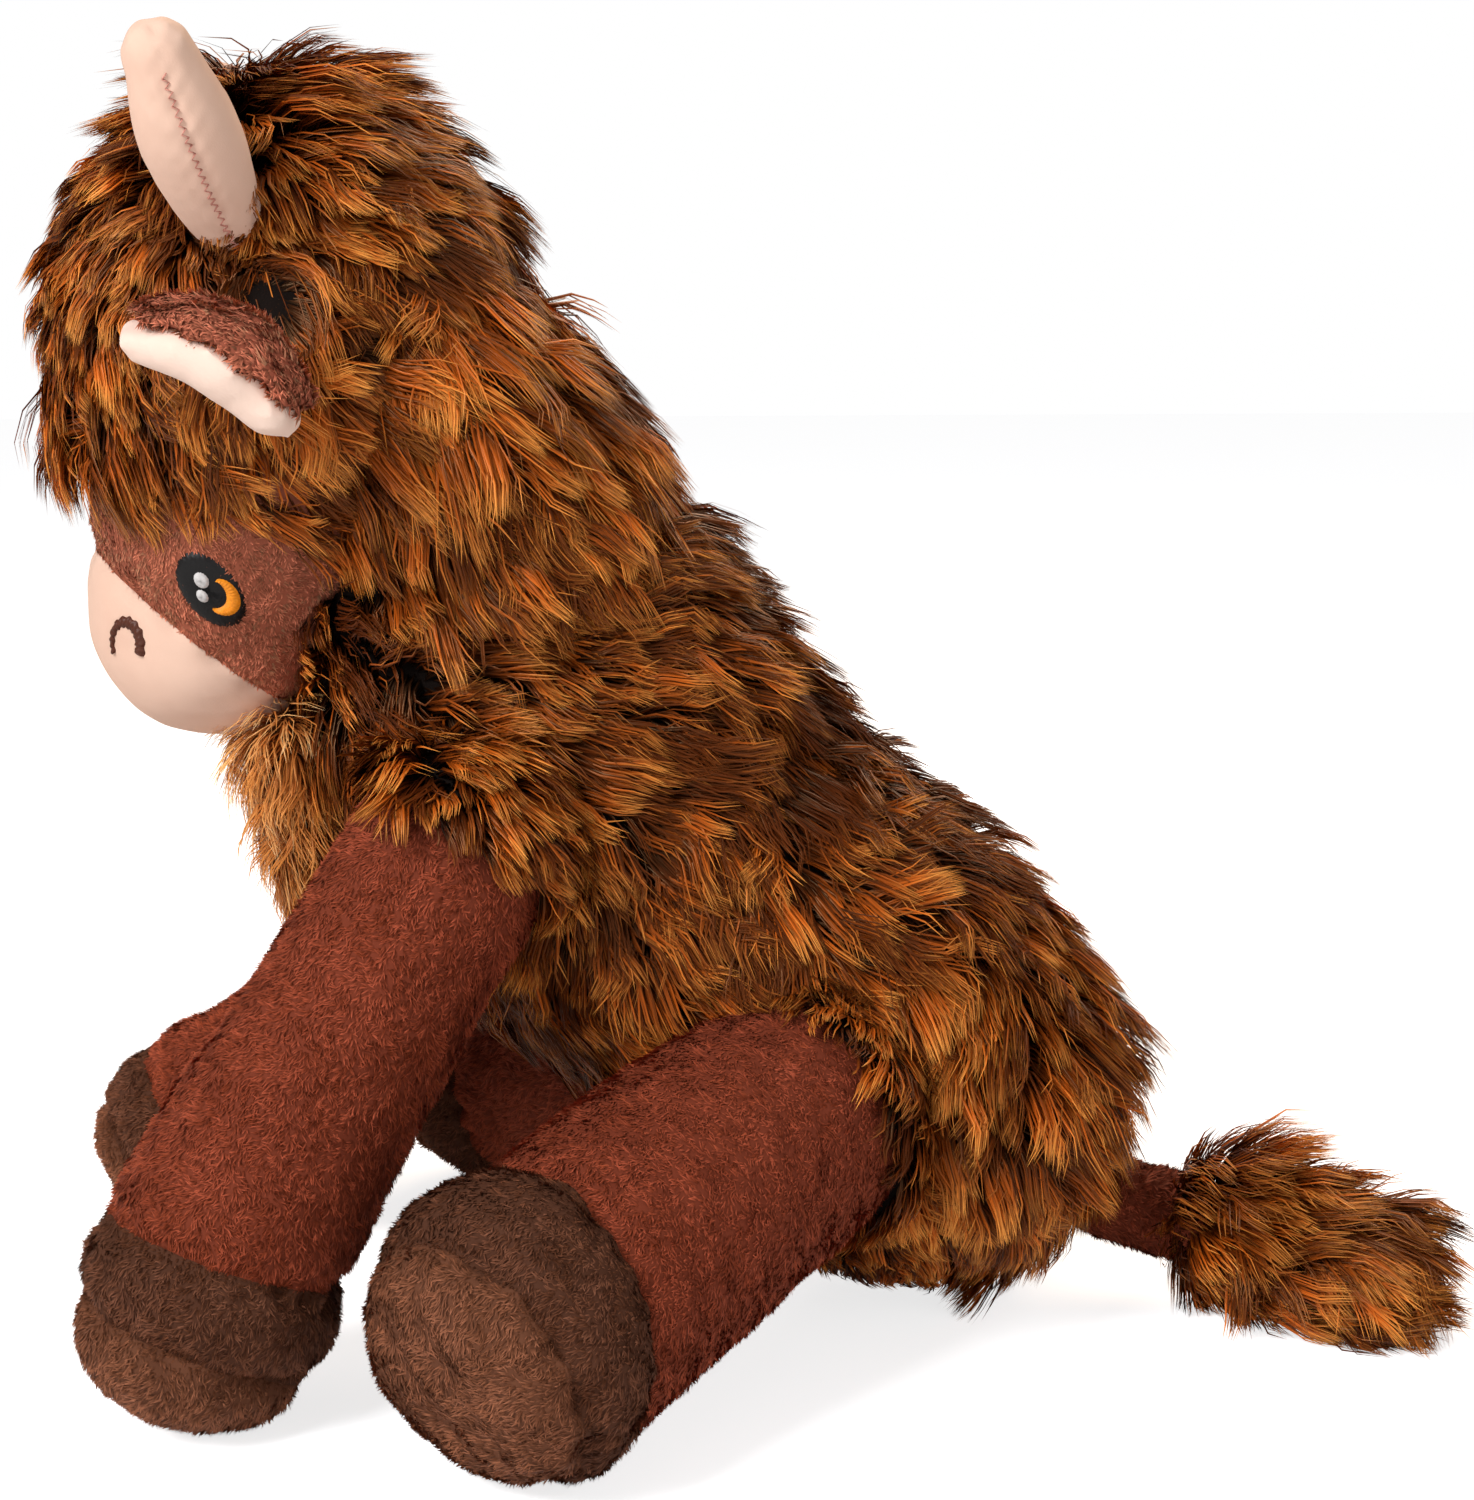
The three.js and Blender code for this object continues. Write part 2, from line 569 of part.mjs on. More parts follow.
// Squeaker, in a pocket of the filling that opens towards the belly
const bulb = torsoPoint(BULB.place, 0, 0);
function bulbForm(grow) {
  const r = BULB.radius + grow;
  const h = BULB.halfHeight + grow;
  const outline = [[0, -h], [r * 0.7, -h], [r * 0.92, -h * 0.75], [r, -h * 0.3], [r, h * 0.3]];
  outline.push([r * 0.92, h * 0.75], [r * 0.7, h], [0, h]);
  return turned(outline, bulb, SIDEWAYS, SIDES.head);
}
const mouth = turned(
  [[0, 0], [REED.radius + GAP, 0], [REED.radius + GAP, LARGE], [0, LARGE]],
  bulb,
  SIDEWAYS,
  SIDES.leg,
);
keep("squeaker_bulb", bulbForm(0).subtract(bulbForm(-BULB.wall)).subtract(mouth), "plastic");
const reedFace = BULB.halfHeight + GAP;
const reedOutline = [
  [REED.bore, reedFace - REED.length],
  [REED.radius, reedFace - REED.length],
  [REED.radius, reedFace],
  [REED.flange, reedFace],
  [REED.flange, reedFace + REED.flangeHeight],
  [REED.bore, reedFace + REED.flangeHeight],
  [REED.bore, reedFace - REED.length],
];
keep("squeaker_reed", turned(reedOutline, bulb, SIDEWAYS, SIDES.leg), "plastic");
const pocketEnds = [-BULB.halfHeight - GAP, reedFace + REED.flangeHeight + GAP];
const pocketRadius = BULB.radius + GAP;
const pocket = turned(
  [[0, pocketEnds[0]], [pocketRadius, pocketEnds[0]], [pocketRadius, pocketEnds[1]], [0, pocketEnds[1]]],
  bulb,
  SIDEWAYS,
  SIDES.head,
);
const slit = underTorso(
  BULB.place,
  (pocketEnds[1] - pocketEnds[0]) / 2,
  pocketRadius - POCKET_SLACK,
  0,
  -(pocketEnds[0] + pocketEnds[1]) / 2,
);
keep("torso_filling", makeRoom(torsoForm(-FUR - GAP)).subtract(pocket).subtract(slit), "fibre");

// Bib: the tan fur that hangs from the throat
const throat = torsoPoint(BIB.place, 0, 1);
const bibStation = (share, girth) => ({
  at: throat.clone().add(point(0, 0, -BIB.length * share)),
  wide: BIB.wide * girth,
  deep: BIB.deep * girth,
});
const bibForm = softForm([bibStation(0, 0.9), bibStation(0.5, 1), bibStation(1, 0.6)], {
  sides: SIDES.leg,
  steps: 3,
  startDome: 6,
  endDome: 8,
});
keep("bib_fur", makeRoom(bibForm.subtract(torsoForm(GAP))), "tanFur");

// Embroidery: thin layers of thread that follow the cloth
function threadLayer(level) {
  const base = GAP + level * (THREAD + GAP);
  return faceForm(base + THREAD).subtract(faceForm(base));
}
function bar(outline, middle, outward, up) {
  const depth = 30;
  const solid = new THREE.ExtrudeGeometry(new THREE.Shape(outline), { depth, bevelEnabled: false });
  const x = up.clone().cross(outward).normalize();
  const basis = new THREE.Matrix4().makeBasis(x, outward.clone().cross(x), outward);
  return solidOf(solid.translate(0, 0, -depth / 4).applyMatrix4(basis.setPosition(middle)));
}
function oval(across, tall, x = 0, y = 0, steps = 12) {
  return Array.from({ length: steps }, (_, i) => {
    const turn = (2 * Math.PI * i) / steps;
    return new THREE.Vector2(x + (across / 2) * Math.cos(turn), y + (tall / 2) * Math.sin(turn));
  });
}
function arch(radius, stroke) {
  const steps = 6;
  const outer = [];
  const inner = [];
  for (let i = 0; i <= steps; i++) {
    const turn = (Math.PI * i) / steps;
    const direction = new THREE.Vector2(Math.cos(turn), Math.sin(turn));
    outer.push(direction.clone().multiplyScalar(radius));
    inner.unshift(direction.clone().multiplyScalar(radius - stroke));
  }
  return [...outer, ...inner];
}
for (const [sideName, side] of [["left", 1], ["right", -1]]) {
  const eyeTurn = radians(EYE.side);
  const eyeOut = point(side * Math.sin(eyeTurn), -Math.cos(eyeTurn), -0.12).normalize();
  const eye = fromHead(NOSE_BRIDGE.y + EYE_PLACE.behind, NOSE_BRIDGE.z + EYE_PLACE.above);
  eye.addScaledVector(eyeOut, NOSE_BRIDGE.wide - 4);
  const eyeUp = point(0, -Math.sin(radians(EYE.tilt)), Math.cos(radians(EYE.tilt)));
  const eyeBar = (outline) => bar(outline, eye, eyeOut, eyeUp);
  const pupil = [-side * EYE.shift, 1.6 * EYE.shift];
  const irisHole = oval(EYE.across - 2 * EYE.iris, EYE.tall - 2 * EYE.iris, ...pupil);
  const iris = eyeBar(oval(EYE.across - 2 * EYE.rim, EYE.tall - 2 * EYE.rim)).subtract(eyeBar(irisHole));
  keep(`eye_outline_${sideName}`, eyeBar(oval(EYE.across, EYE.tall)).intersect(threadLayer(0)), "black");
  keep(`eye_iris_${sideName}`, iris.intersect(threadLayer(1)), "amber");
  const glint = eyeBar(oval(GLINT.across, GLINT.tall, ...pupil));
  keep(`eye_glint_${sideName}`, glint.intersect(threadLayer(1)), "white");
  const noseOut = point(side * Math.sin(radians(NOSTRIL.side)), -Math.cos(radians(NOSTRIL.side)), -0.15);
  const nostril = muzzle.clone().addScaledVector(noseOut.normalize(), MUZZLE.radius - 4);
  nostril.z += NOSTRIL.rise;
  const nostrilBar = bar(arch(NOSTRIL.radius, NOSTRIL.stroke), nostril, noseOut, UP);
  keep(`nostril_${sideName}`, nostrilBar.intersect(threadLayer(0)), "nostril");
}

// The origin goes to the middle of the box round the toy
const middle = new THREE.Box3().setFromObject(toy).getCenter(point(0, 0, 0));
toy.position.set(-middle.x, -middle.y, 0);
toy.userData.pivots = pivots;

export default toy;
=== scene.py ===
"""Looks of a plush highland cow dog toy, sitting. Metres, +Z up, the face towards -Y, its left side +X.

Every stuffed piece is rebuilt from the same stations as its solid. Long fur is made of curved blades,
each a narrow lock of hairs, and short pile of small tufts.
"""

import json
from math import copysign, cos, pi, radians, sin, sqrt, tan

import bpy
import numpy as np
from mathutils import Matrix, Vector
from mathutils.bvhtree import BVHTree
from mathutils.kdtree import KDTree
from numpy.linalg import norm


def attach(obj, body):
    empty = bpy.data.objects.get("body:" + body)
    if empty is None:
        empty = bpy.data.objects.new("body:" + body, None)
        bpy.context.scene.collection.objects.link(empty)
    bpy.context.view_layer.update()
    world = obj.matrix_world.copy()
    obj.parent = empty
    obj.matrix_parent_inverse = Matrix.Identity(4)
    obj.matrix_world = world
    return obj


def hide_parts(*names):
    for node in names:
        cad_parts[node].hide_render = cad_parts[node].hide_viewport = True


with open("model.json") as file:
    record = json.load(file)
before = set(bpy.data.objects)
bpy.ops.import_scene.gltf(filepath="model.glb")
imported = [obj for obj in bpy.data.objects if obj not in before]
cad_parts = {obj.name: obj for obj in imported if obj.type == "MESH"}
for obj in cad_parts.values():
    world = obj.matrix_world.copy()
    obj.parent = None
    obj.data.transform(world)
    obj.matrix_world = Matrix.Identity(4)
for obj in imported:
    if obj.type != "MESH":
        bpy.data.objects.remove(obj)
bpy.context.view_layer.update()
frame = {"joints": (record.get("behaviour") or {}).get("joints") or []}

MM = 0.001
SEED = 7
BLADE_MAP = "OFBake"  # across it runs the tone of a hair, up it the way from root to tip

# The photograph's camera
CAMERA = {"from_head": (0.4981, 0.03242, 0.00969), "azimuth": 85, "pitch": 9.46, "lens": 70.56, "film": 36}

# Cloth
FUR = 11 * MM  # from the backing to the middle of the coat's outer surface
BACKING = 9 * MM  # the backing lies this far inside the coat's outer surface
SEAM_DEPTH = 1.1 * MM
SEAM_WIDTH = 2.6 * MM

# Torso: (forwards or back, height, half width, half depth) from the neck to the rump
TORSO = [(-44, 134, 36, 40), (-32, 107, 40, 45), (-10, 82, 41, 42), (14.5, 61.5, 42, 41.5), (32, 40, 44, 40)]
NECK_DOME, RUMP_DOME = 31 * MM, 36 * MM
BELLY = {"place": 0.6, "half_length": 30 * MM, "half_width": 24 * MM, "below": 12 * MM}
BIB = {"place": 0.1, "length": 36 * MM, "wide": 17 * MM, "deep": 9 * MM}

# Head
HEAD = {"y": -76, "z": 176.5}  # where the source puts it before the toy is let down on the floor
HEAD_RADIUS, HEAD_WIDE, HEAD_CORE = 43.5 * MM, 43 * MM, 32.5 * MM
FACE = [(-4, -24, 29, 28.5), (-10, -40, 24.5, 23.4), (-13, -52.5, 20.3, 20.2)]
MUZZLE_DOME, MUZZLE_TILT = 17 * MM, 50
FACE_EDGE = {"y": -8, "z": -27, "steepness": 62}
EYE = {"across": 9.4 * MM, "tall": 14.5 * MM, "side": 82, "tilt": 32, "behind": 2.5 * MM, "above": 0.3 * MM}
NOSTRIL = {"radius": 3.8 * MM, "stroke": 2 * MM, "side": 51, "rise": 3.2 * MM, "lean": 16}
HORN = {"length": 45 * MM, "radius": 8.2 * MM, "side": 70, "rise": 54, "bow": 2.6 * MM}
EAR = {"length": 32 * MM, "half_width": 17 * MM, "back": 6 * MM, "lining": 8 * MM, "cup": 5 * MM}

# Legs: radii from the root to the sole. Feet: two angles, then the seams' distances from the toe
FORELEG = {"length": 92, "radii": (17, 17.6, 18.8, 20.9, 18.6), "dome": 6.5, "flare": 0.02}
HINDLEG = {"length": 75, "radii": (21, 22, 22.3, 24.4, 22.6), "dome": 6, "flare": 0.07}
HINDFOOT = {"curl": 0, "turn": -14, "band": 17, "bulge": 1.5, "splay": 43}
LEGS = {
    "foreleg_left": {
        **FORELEG, "radii": (17, 17.8, 19.8, 21.4, 19), "curl": 8, "turn": 12, "band": 21, "bulge": 6, "splay": 20
    },
    "foreleg_right": {**FORELEG, "curl": -17, "turn": -8, "band": 14, "bulge": 0.5, "splay": 7},
    "hindleg_left": {**HINDLEG, **HINDFOOT},
    "hindleg_right": {**HINDLEG, **HINDFOOT},
}
LEG_SHARES = (0, 0.4, 0.68, 0.86, 1)
ANKLE = 0.68
FLAT_DEPTH = 0.5 * MM
HAIR_FLOOR, PILE_FLOOR, SOLE_FLOOR = 0.3 * MM, 0.2 * MM, 0.1 * MM  # nothing of these hangs lower

# Tail
TAIL = {"radius": 8.5 * MM, "length": 16 * MM, "turn": 28, "fall": 12}
TUFT = {"length": 47 * MM, "radius": 17 * MM}

SIDES = ("left", 1), ("right", -1)
X, Y, Z = np.eye(3)
pivots = {joint["child"]: np.array(joint["pos_m"]) for joint in frame["joints"]}
head = pivots["head"]
SOURCE = head - np.array([0, HEAD["y"], HEAD["z"]]) * MM  # from the source's own places to the frame's


def dice(seed):
    return np.random.default_rng(SEED + seed)


def unit(vectors):
    vectors = np.asarray(vectors, float)
    return vectors / np.maximum(norm(vectors, axis=-1, keepdims=True), 1e-12)


def smooth(low, high, x):
    t = np.clip((x - low) / (high - low), 0, 1)
    return t * t * (3 - 2 * t)


def past(low, high, x):
    """From 0 at the low place to 1 at the high one, both in mm."""
    return smooth(low * MM, high * MM, x)


# Forms: rings round a line through stations, with a dome at each end

def through(points, u):
    """A point of the smooth curve through the points, u from 0 to 1."""
    p = np.asarray(points, float)
    last = len(p) - 1
    x = min(max(u, 0), 1) * last
    i = min(int(x), last - 1)
    w = x - i
    before = p[i - 1] if i > 0 else 2 * p[0] - p[1]
    after = p[i + 2] if i + 2 <= last else 2 * p[last] - p[last - 1]
    start, end = (p[i + 1] - before) / 2, (after - p[i]) / 2
    turn = 2 * (p[i] - p[i + 1]) + start + end
    return ((turn * w + 3 * (p[i + 1] - p[i]) - 2 * start - end) * w + start) * w + p[i]


class Form:
    def __init__(self, stations, start_dome, end_dome, across=X, cup=0.0, rise=lambda height: height):
        self.line = [s[0] for s in stations]
        self.girth = [(s[1], s[2], 0) for s in stations]
        self.domes = start_dome, end_dome
        self.across = np.asarray(across, float)
        self.cup = cup
        self.rise = rise  # shapes a ring's height, which goes from -1 to 1

    def at(self, u):
        return through(self.line, u)

    def along(self, u):
        step = 1e-4
        return unit(through(self.line, min(u + step, 1)) - through(self.line, max(u - step, 0)))

    def sizes(self, u):
        return through(self.girth, u)[:2]

    def axes(self, u):
        along = self.along(u)
        wide = unit(self.across - along * self.across.dot(along))
        return along, wide, np.cross(along, wide)

    def rings(self, steps, dome_steps, grow):
        """(u, how far past the line's end, share of the girth) of each ring."""
        turns = [pi / 2 * i / dome_steps for i in range(1, dome_steps)]
        start, end = (dome + grow for dome in self.domes)
        rows = [(0, -start * cos(t), sin(t)) for t in turns]
        rows += [(i / steps, 0, 1) for i in range(steps + 1)]
        return rows + [(1, end * cos(t), sin(t)) for t in reversed(turns)]

    def points(self, sides, steps, dome_steps, grow=0.0):
        turn = 2 * pi * np.arange(sides)[:, None] / sides
        points = [self.at(0) - self.along(0) * (self.domes[0] + grow)]
        for u, beyond, share in self.rings(steps, dome_steps, grow):
            along, wide, deep = self.axes(u)
            half_wide, half_deep = (self.sizes(u) + grow) * share
            height = half_deep * self.rise(np.sin(turn)) - self.cup * share * np.cos(turn) ** 2
            points.extend(self.at(u) + along * beyond + wide * half_wide * np.cos(turn) + deep * height)
        points.append(self.at(1) + self.along(1) * (self.domes[1] + grow))
        return np.array(points)

    def mesh(self, name, sides, steps, dome_steps=6, grow=0.0):
        points = self.points(sides, steps, dome_steps, grow)
        rows = len(self.rings(steps, dome_steps, grow))
        end = len(points) - 1
        corner = lambda row, j: 1 + row * sides + j % sides
        faces = [(0, corner(0, j + 1), corner(0, j)) for j in range(sides)]
        faces += [(end, corner(rows - 1, j), corner(rows - 1, j + 1)) for j in range(sides)]
        for row in range(rows - 1):
            for j in range(sides):
                faces.append((corner(row, j), corner(row, j + 1), corner(row + 1, j + 1), corner(row + 1, j)))
        return new_piece(name, points, faces)


# Pieces

def in_scene(name, data):
    thing = bpy.data.objects.new(name, data)
    bpy.context.scene.collection.objects.link(thing)
    return thing


def new_piece(name, points, faces):
    mesh = bpy.data.meshes.new(name)
    mesh.from_pydata([tuple(p) for p in points], [], faces)
    mesh.shade_smooth()
    return in_scene(name, mesh)


def only(piece):
    bpy.ops.object.select_all(action="DESELECT")
    piece.select_set(True)
    bpy.context.view_layer.objects.active = piece


def apply(piece, kind, **settings):
    """Adds a modifier to the piece and applies it."""
    only(piece)
    modifier = piece.modifiers.new(kind.title(), kind)
    for key, value in settings.items():
        setattr(modifier, key, value)
    bpy.ops.object.modifier_apply(modifier=modifier.name)


def read(piece, key):
    values = np.zeros(len(piece.data.vertices) * 3, np.float32)
    piece.data.vertices.foreach_get(key, values)
    return values.reshape(-1, 3).astype(float)


def places(piece):
    return read(piece, "co")


def normals_of(piece):
    return read(piece, "normal")


def move_to(piece, points):
    piece.data.vertices.foreach_set("co", np.asarray(points, np.float32).ravel())
    piece.data.update()


def cut(piece, at, normal):
    """Takes away what lies on the normal's side of a plane, and closes the cut."""
    only(piece)
    bpy.ops.object.mode_set(mode="EDIT")
    bpy.ops.mesh.select_all(action="SELECT")
    bpy.ops.mesh.bisect(plane_co=tuple(at), plane_no=tuple(normal), clear_outer=True, use_fill=True)
    bpy.ops.object.mode_set(mode="OBJECT")


def stuff(piece, most, held=None, voxel=3.4 * MM, pressure=260):
    """Blows a cover up as cloth. It is done ten times as large, where a vertex of cloth weighs the right amount."""
    only(piece)
    large = 10
    move_to(piece, places(piece) * large)
    apply(piece, "REMESH", mode="VOXEL", voxel_size=voxel * large)
    before = places(piece)
    cloth = piece.modifiers.new("Cloth", "CLOTH")
    cloth.settings.use_pressure = True
    cloth.settings.uniform_pressure_force = pressure
    cloth.settings.effector_weights.gravity = 0
    if held is not None:
        group = piece.vertex_groups.new(name="held")
        group.add([int(i) for i in np.nonzero(held(before / large))[0]], 1.0, "REPLACE")
        cloth.settings.vertex_group_mass = "held"
    for frame_number in range(1, 21):
        bpy.context.scene.frame_set(frame_number)
    shown = piece.evaluated_get(bpy.context.evaluated_depsgraph_get())
    moved = (places(shown) - before) / large
    piece.modifiers.remove(cloth)
    bpy.context.scene.frame_set(1)
    size = norm(moved, axis=1, keepdims=True)
    before += large * moved * np.minimum(1, most / np.maximum(size, 1e-9))
    move_to(piece, before / large)
    apply(piece, "SUBSURF", levels=2, render_levels=2)
    piece.data.shade_smooth()


def hand_in(piece, body, slot, *nodes, fill=None, look=None):
    """Gives a finished piece its body and its look, from the slot if none is given; hides the nodes it stands for."""
    piece.data.materials.clear()
    piece.data.materials.append(look or COVERS[slot][0])
    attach(piece, body)
    if nodes:
        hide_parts(*nodes)


def part_of(whole, name, cuts, body, slot, *nodes, fill):
    """Hands in a copy of the whole without what lies past the cuts."""
    piece = in_scene(name, whole.data.copy())
    for at, normal in cuts:
        cut(piece, at, normal)
    piece.data.shade_smooth()
    hand_in(piece, body, slot, *nodes, fill=fill)
    return piece


# Irregularity: a smooth field of values from -1 to 1, the same on every run

def waviness(points, scale, seed):
    """Values from about -1 to 1 that change over the scale, given in mm."""
    scale = scale * MM
    rng = dice(seed)
    total = np.zeros(len(points))
    waves = 7
    for _ in range(waves):
        direction = unit(rng.normal(size=3))
        stretch = rng.uniform(0.6, 1.6)
        total += np.sin(points @ direction * (2 * pi * stretch / scale) + rng.uniform(0, 2 * pi))
    return total / sqrt(waves)


def dent_seam(piece, at, normal, seed, depth=SEAM_DEPTH, width=SEAM_WIDTH):
    """Pulls the cloth in along the seam in a plane, more where the thread gathers it."""
    points = places(piece)
    inward = -normals_of(piece)
    away = np.abs((points - at) @ normal)
    gather = 1 + 0.5 * waviness(points, 7, seed)
    pull = depth * np.exp(-((away / width) ** 2)) + 0.35 * depth * np.exp(-away / (4 * width)) * (gather - 1)
    move_to(piece, points + inward * np.maximum(pull * gather, 0)[:, None])


def lumps(piece, height, scale, seed):
    points = places(piece)
    move_to(piece, points + normals_of(piece) * (height * waviness(points, scale, seed))[:, None])


# Shader maths: a value's socket, to which Python arithmetic adds nodes

class Value:
    def __init__(self, look, socket):
        self.look = look
        self.socket = socket

    def maths(self, operation, *terms):
        return self.look.node("ShaderNodeMath", {"operation": operation}, dict(enumerate(terms)))

    def __add__(self, other):
        return self.maths("ADD", self, other)

    def __sub__(self, other):
        return self.maths("SUBTRACT", self, other)

    def __mul__(self, other):
        return self.maths("MULTIPLY", self, other)


class Look:
    """A material with one shader, and the nodes that feed it."""

    def __init__(self, name, **constants):
        self.material = bpy.data.materials.new(name)
        self.material.use_nodes = True
        self.tree = self.material.node_tree
        self.shader = self.tree.nodes["Principled BSDF"]
        for key, value in constants.items():
            self.shader.inputs[key.replace("_", " ").title().replace("Ior", "IOR")].default_value = value

    def node(self, kind, settings, inputs, out=0):
        node = self.tree.nodes.new(kind)
        for key, value in settings.items():
            if key == "stops":
                self.set_stops(node.color_ramp, value)
            else:
                setattr(node, key, value)
        for key, value in inputs.items():
            if isinstance(value, Value):
                self.tree.links.new(value.socket, node.inputs[key])
            else:
                node.inputs[key].default_value = value
        return Value(self, node.outputs[out])

    @staticmethod
    def set_stops(ramp, stops):
        while len(ramp.elements) < len(stops):
            ramp.elements.new(0.5)
        for element, (place, colour) in zip(ramp.elements, stops):
            element.position = place
            element.color = colour

    def ramp(self, value, *stops):
        return self.node("ShaderNodeValToRGB", {"stops": stops}, {0: value})

    def mix(self, share, first, second):
        return self.node("ShaderNodeMix", {"data_type": "RGBA"}, {0: share, 6: first, 7: second}, out=2)

    def noise(self, place, scale, detail=3, roughness=0.55):
        inputs = {"Vector": place, "Scale": scale, "Detail": detail, "Roughness": roughness}
        return self.node("ShaderNodeTexNoise", {}, inputs)

    def place(self):
        return self.node("ShaderNodeTexCoord", {}, {}, out=3)

    def bump(self, height, strength, distance):
        return self.node("ShaderNodeBump", {}, {"Height": height, "Strength": strength, "Distance": distance})

    def feed(self, **links):
        for key, value in links.items():
            self.tree.links.new(value.socket, self.shader.inputs[key.replace("_", " ").title()])
        return self.material


def paint(red, green, blue):
    """A colour as a photograph's numbers give it, 0 to 255."""
    linear = [(c / 255 / 12.92 if c < 10.3 else ((c / 255 + 0.055) / 1.055) ** 2.4) for c in (red, green, blue)]
    return (*linear, 1)


def shade(colour, share):
    return tuple(min(c * share, 1) for c in colour[:3]) + (1,)


def blade_look(name, dark, light, roughness=0.36, gleam=0.38, gleam_tint=(1, 0.55, 0.28, 1)):
    """Hair whose colour comes from its map: tone across, root to tip along, the roots darkened as painted shade."""
    look = Look(name, roughness=roughness, specular_tint=gleam_tint)
    look.shader.inputs["Specular IOR Level"].default_value = gleam
    where = look.node("ShaderNodeUVMap", {"uv_map": BLADE_MAP}, {})
    parts = look.node("ShaderNodeSeparateXYZ", {}, {0: where})
    tone, along = parts, Value(look, parts.socket.node.outputs[1])
    fine = look.node("ShaderNodeCombineXYZ", {}, {0: tone * 260, 1: along * 1.5})
    streak = look.noise(fine, 1, detail=2)
    way = along + (streak - 0.5) * 0.5
    colour = look.mix(tone, look.ramp(way, *dark), look.ramp(way, *light))
    return look.feed(base_color=colour)


# Root to tip: the darkest roots are painted shade deep in the coat, the palest tips partly a painted highlight.
DARK_FUR = ((0, paint(8, 3, 1)), (0.35, paint(32, 12, 3)), (0.75, paint(78, 30, 5)), (1, paint(110, 50, 13)))
LIGHT_FUR = ((0, paint(40, 16, 4)), (0.3, paint(118, 51, 12)), (0.66, paint(206, 98, 25)), (1, paint(250, 172, 82)))
DARK_TAN = ((0, paint(96, 44, 14)), (0.4, paint(164, 88, 34)), (0.8, paint(212, 134, 64)), (1, paint(230, 164, 96)))
LIGHT_TAN = (
    (0, paint(160, 86, 34)), (0.4, paint(226, 146, 74)), (0.8, paint(248, 198, 130)), (1, paint(252, 228, 184))
)


def nap_stops(colour):
    """Stops for short pile: painted shade deep at its root, lighter at its tip, partly a painted highlight."""
    return (0, shade(colour, 0.35)), (0.5, shade(colour, 0.85)), (1, shade(colour, 1.7))


def pile_look(name, colour):
    # The pale tips of the lighter tones are partly a painted highlight on the pile.
    lighter = tuple(min(c * 1.3 + 0.011, 1) for c in colour[:3])
    tint = shade(colour, 4)
    stops = nap_stops(shade(colour, 0.6)), nap_stops(lighter)
    material = blade_look(name, *stops, roughness=0.7, gleam=0.3, gleam_tint=tint)
    shader = material.node_tree.nodes["Principled BSDF"]
    shader.inputs["Sheen Weight"].default_value = 0.35
    shader.inputs["Sheen Tint"].default_value = tint
    return material


def cloth_look(name, colour, grain=0.9, depth=0.25, sheen=0.3, blush=None):
    """Short-pile or smooth cloth: a fine grain, brushed patches and a soft sheen."""
    look = Look(name, roughness=0.85, sheen_weight=sheen, sheen_roughness=0.45, sheen_tint=colour)
    look.shader.inputs["Specular IOR Level"].default_value = 0.15
    place = look.place()
    patches = look.noise(place, 60, detail=3)
    fibres = look.noise(place, grain / MM, detail=4, roughness=0.7)
    base = look.mix(patches, blush or shade(colour, 0.72), shade(colour, 1.12))
    base = look.mix(fibres * 0.6, base, colour)
    return look.feed(base_color=base, normal=look.bump(fibres, depth, 0.4 * MM))


# Sampling a surface

def scatter(piece, count, rng):
    """Points spread evenly over a piece, with its smooth normals there."""
    mesh = piece.data
    mesh.calc_loop_triangles()
    corners = np.zeros(len(mesh.loop_triangles) * 3, np.int32)
    mesh.loop_triangles.foreach_get("vertices", corners)
    corners = corners.reshape(-1, 3)
    points, normals = places(piece), normals_of(piece)
    a, b, c = (points[corners[:, i]] for i in range(3))
    areas = norm(np.cross(b - a, c - a), axis=1)
    picked = rng.choice(len(corners), count, p=areas / areas.sum())
    r = np.sqrt(rng.random((count, 1)))
    s = rng.random((count, 1))
    weights = 1 - r, r * (1 - s), r * s
    place = sum(w * points[corners[picked, i]] for i, w in enumerate(weights))
    normal = sum(w * normals[corners[picked, i]] for i, w in enumerate(weights))
    return place, unit(normal)


def area_of(piece):
    return sum(polygon.area for polygon in piece.data.polygons)


def across_surface(directions, normals):
    """The directions laid into the surface."""
    return unit(directions - normals * np.sum(directions * normals, axis=1, keepdims=True))


def gather(points, size, rng):
    """Puts points in groups of about a size. Returns each point's group and the groups' middle points."""
    groups = max(len(points) // size, 1)
    middles = rng.choice(len(points), groups, replace=False)
    tree = KDTree(groups)
    for i, m in enumerate(middles):
        tree.insert(points[m], i)
    tree.balance()
    return np.array([tree.find(p)[1] for p in points]), middles


# Long fur

STEPS = 4  # stretches along a blade
WIDTHS = np.array([0.8, 1, 0.9, 0.6])
LOOSE = 0.12  # the share of hairs that stray from their lock
BLADE_BULGE = 0.7  # how far a blade's normals lean outwards at its edges
TONE_WIDTH = 0.012  # how much of the tones' map one blade spans
LOCK_EDGE_SHADE, LOCK_TONE, HAIR_TONE = 0.22, 0.28, 0.24  # painted shade toward a lock's edge, then how tones differ between locks and between hairs
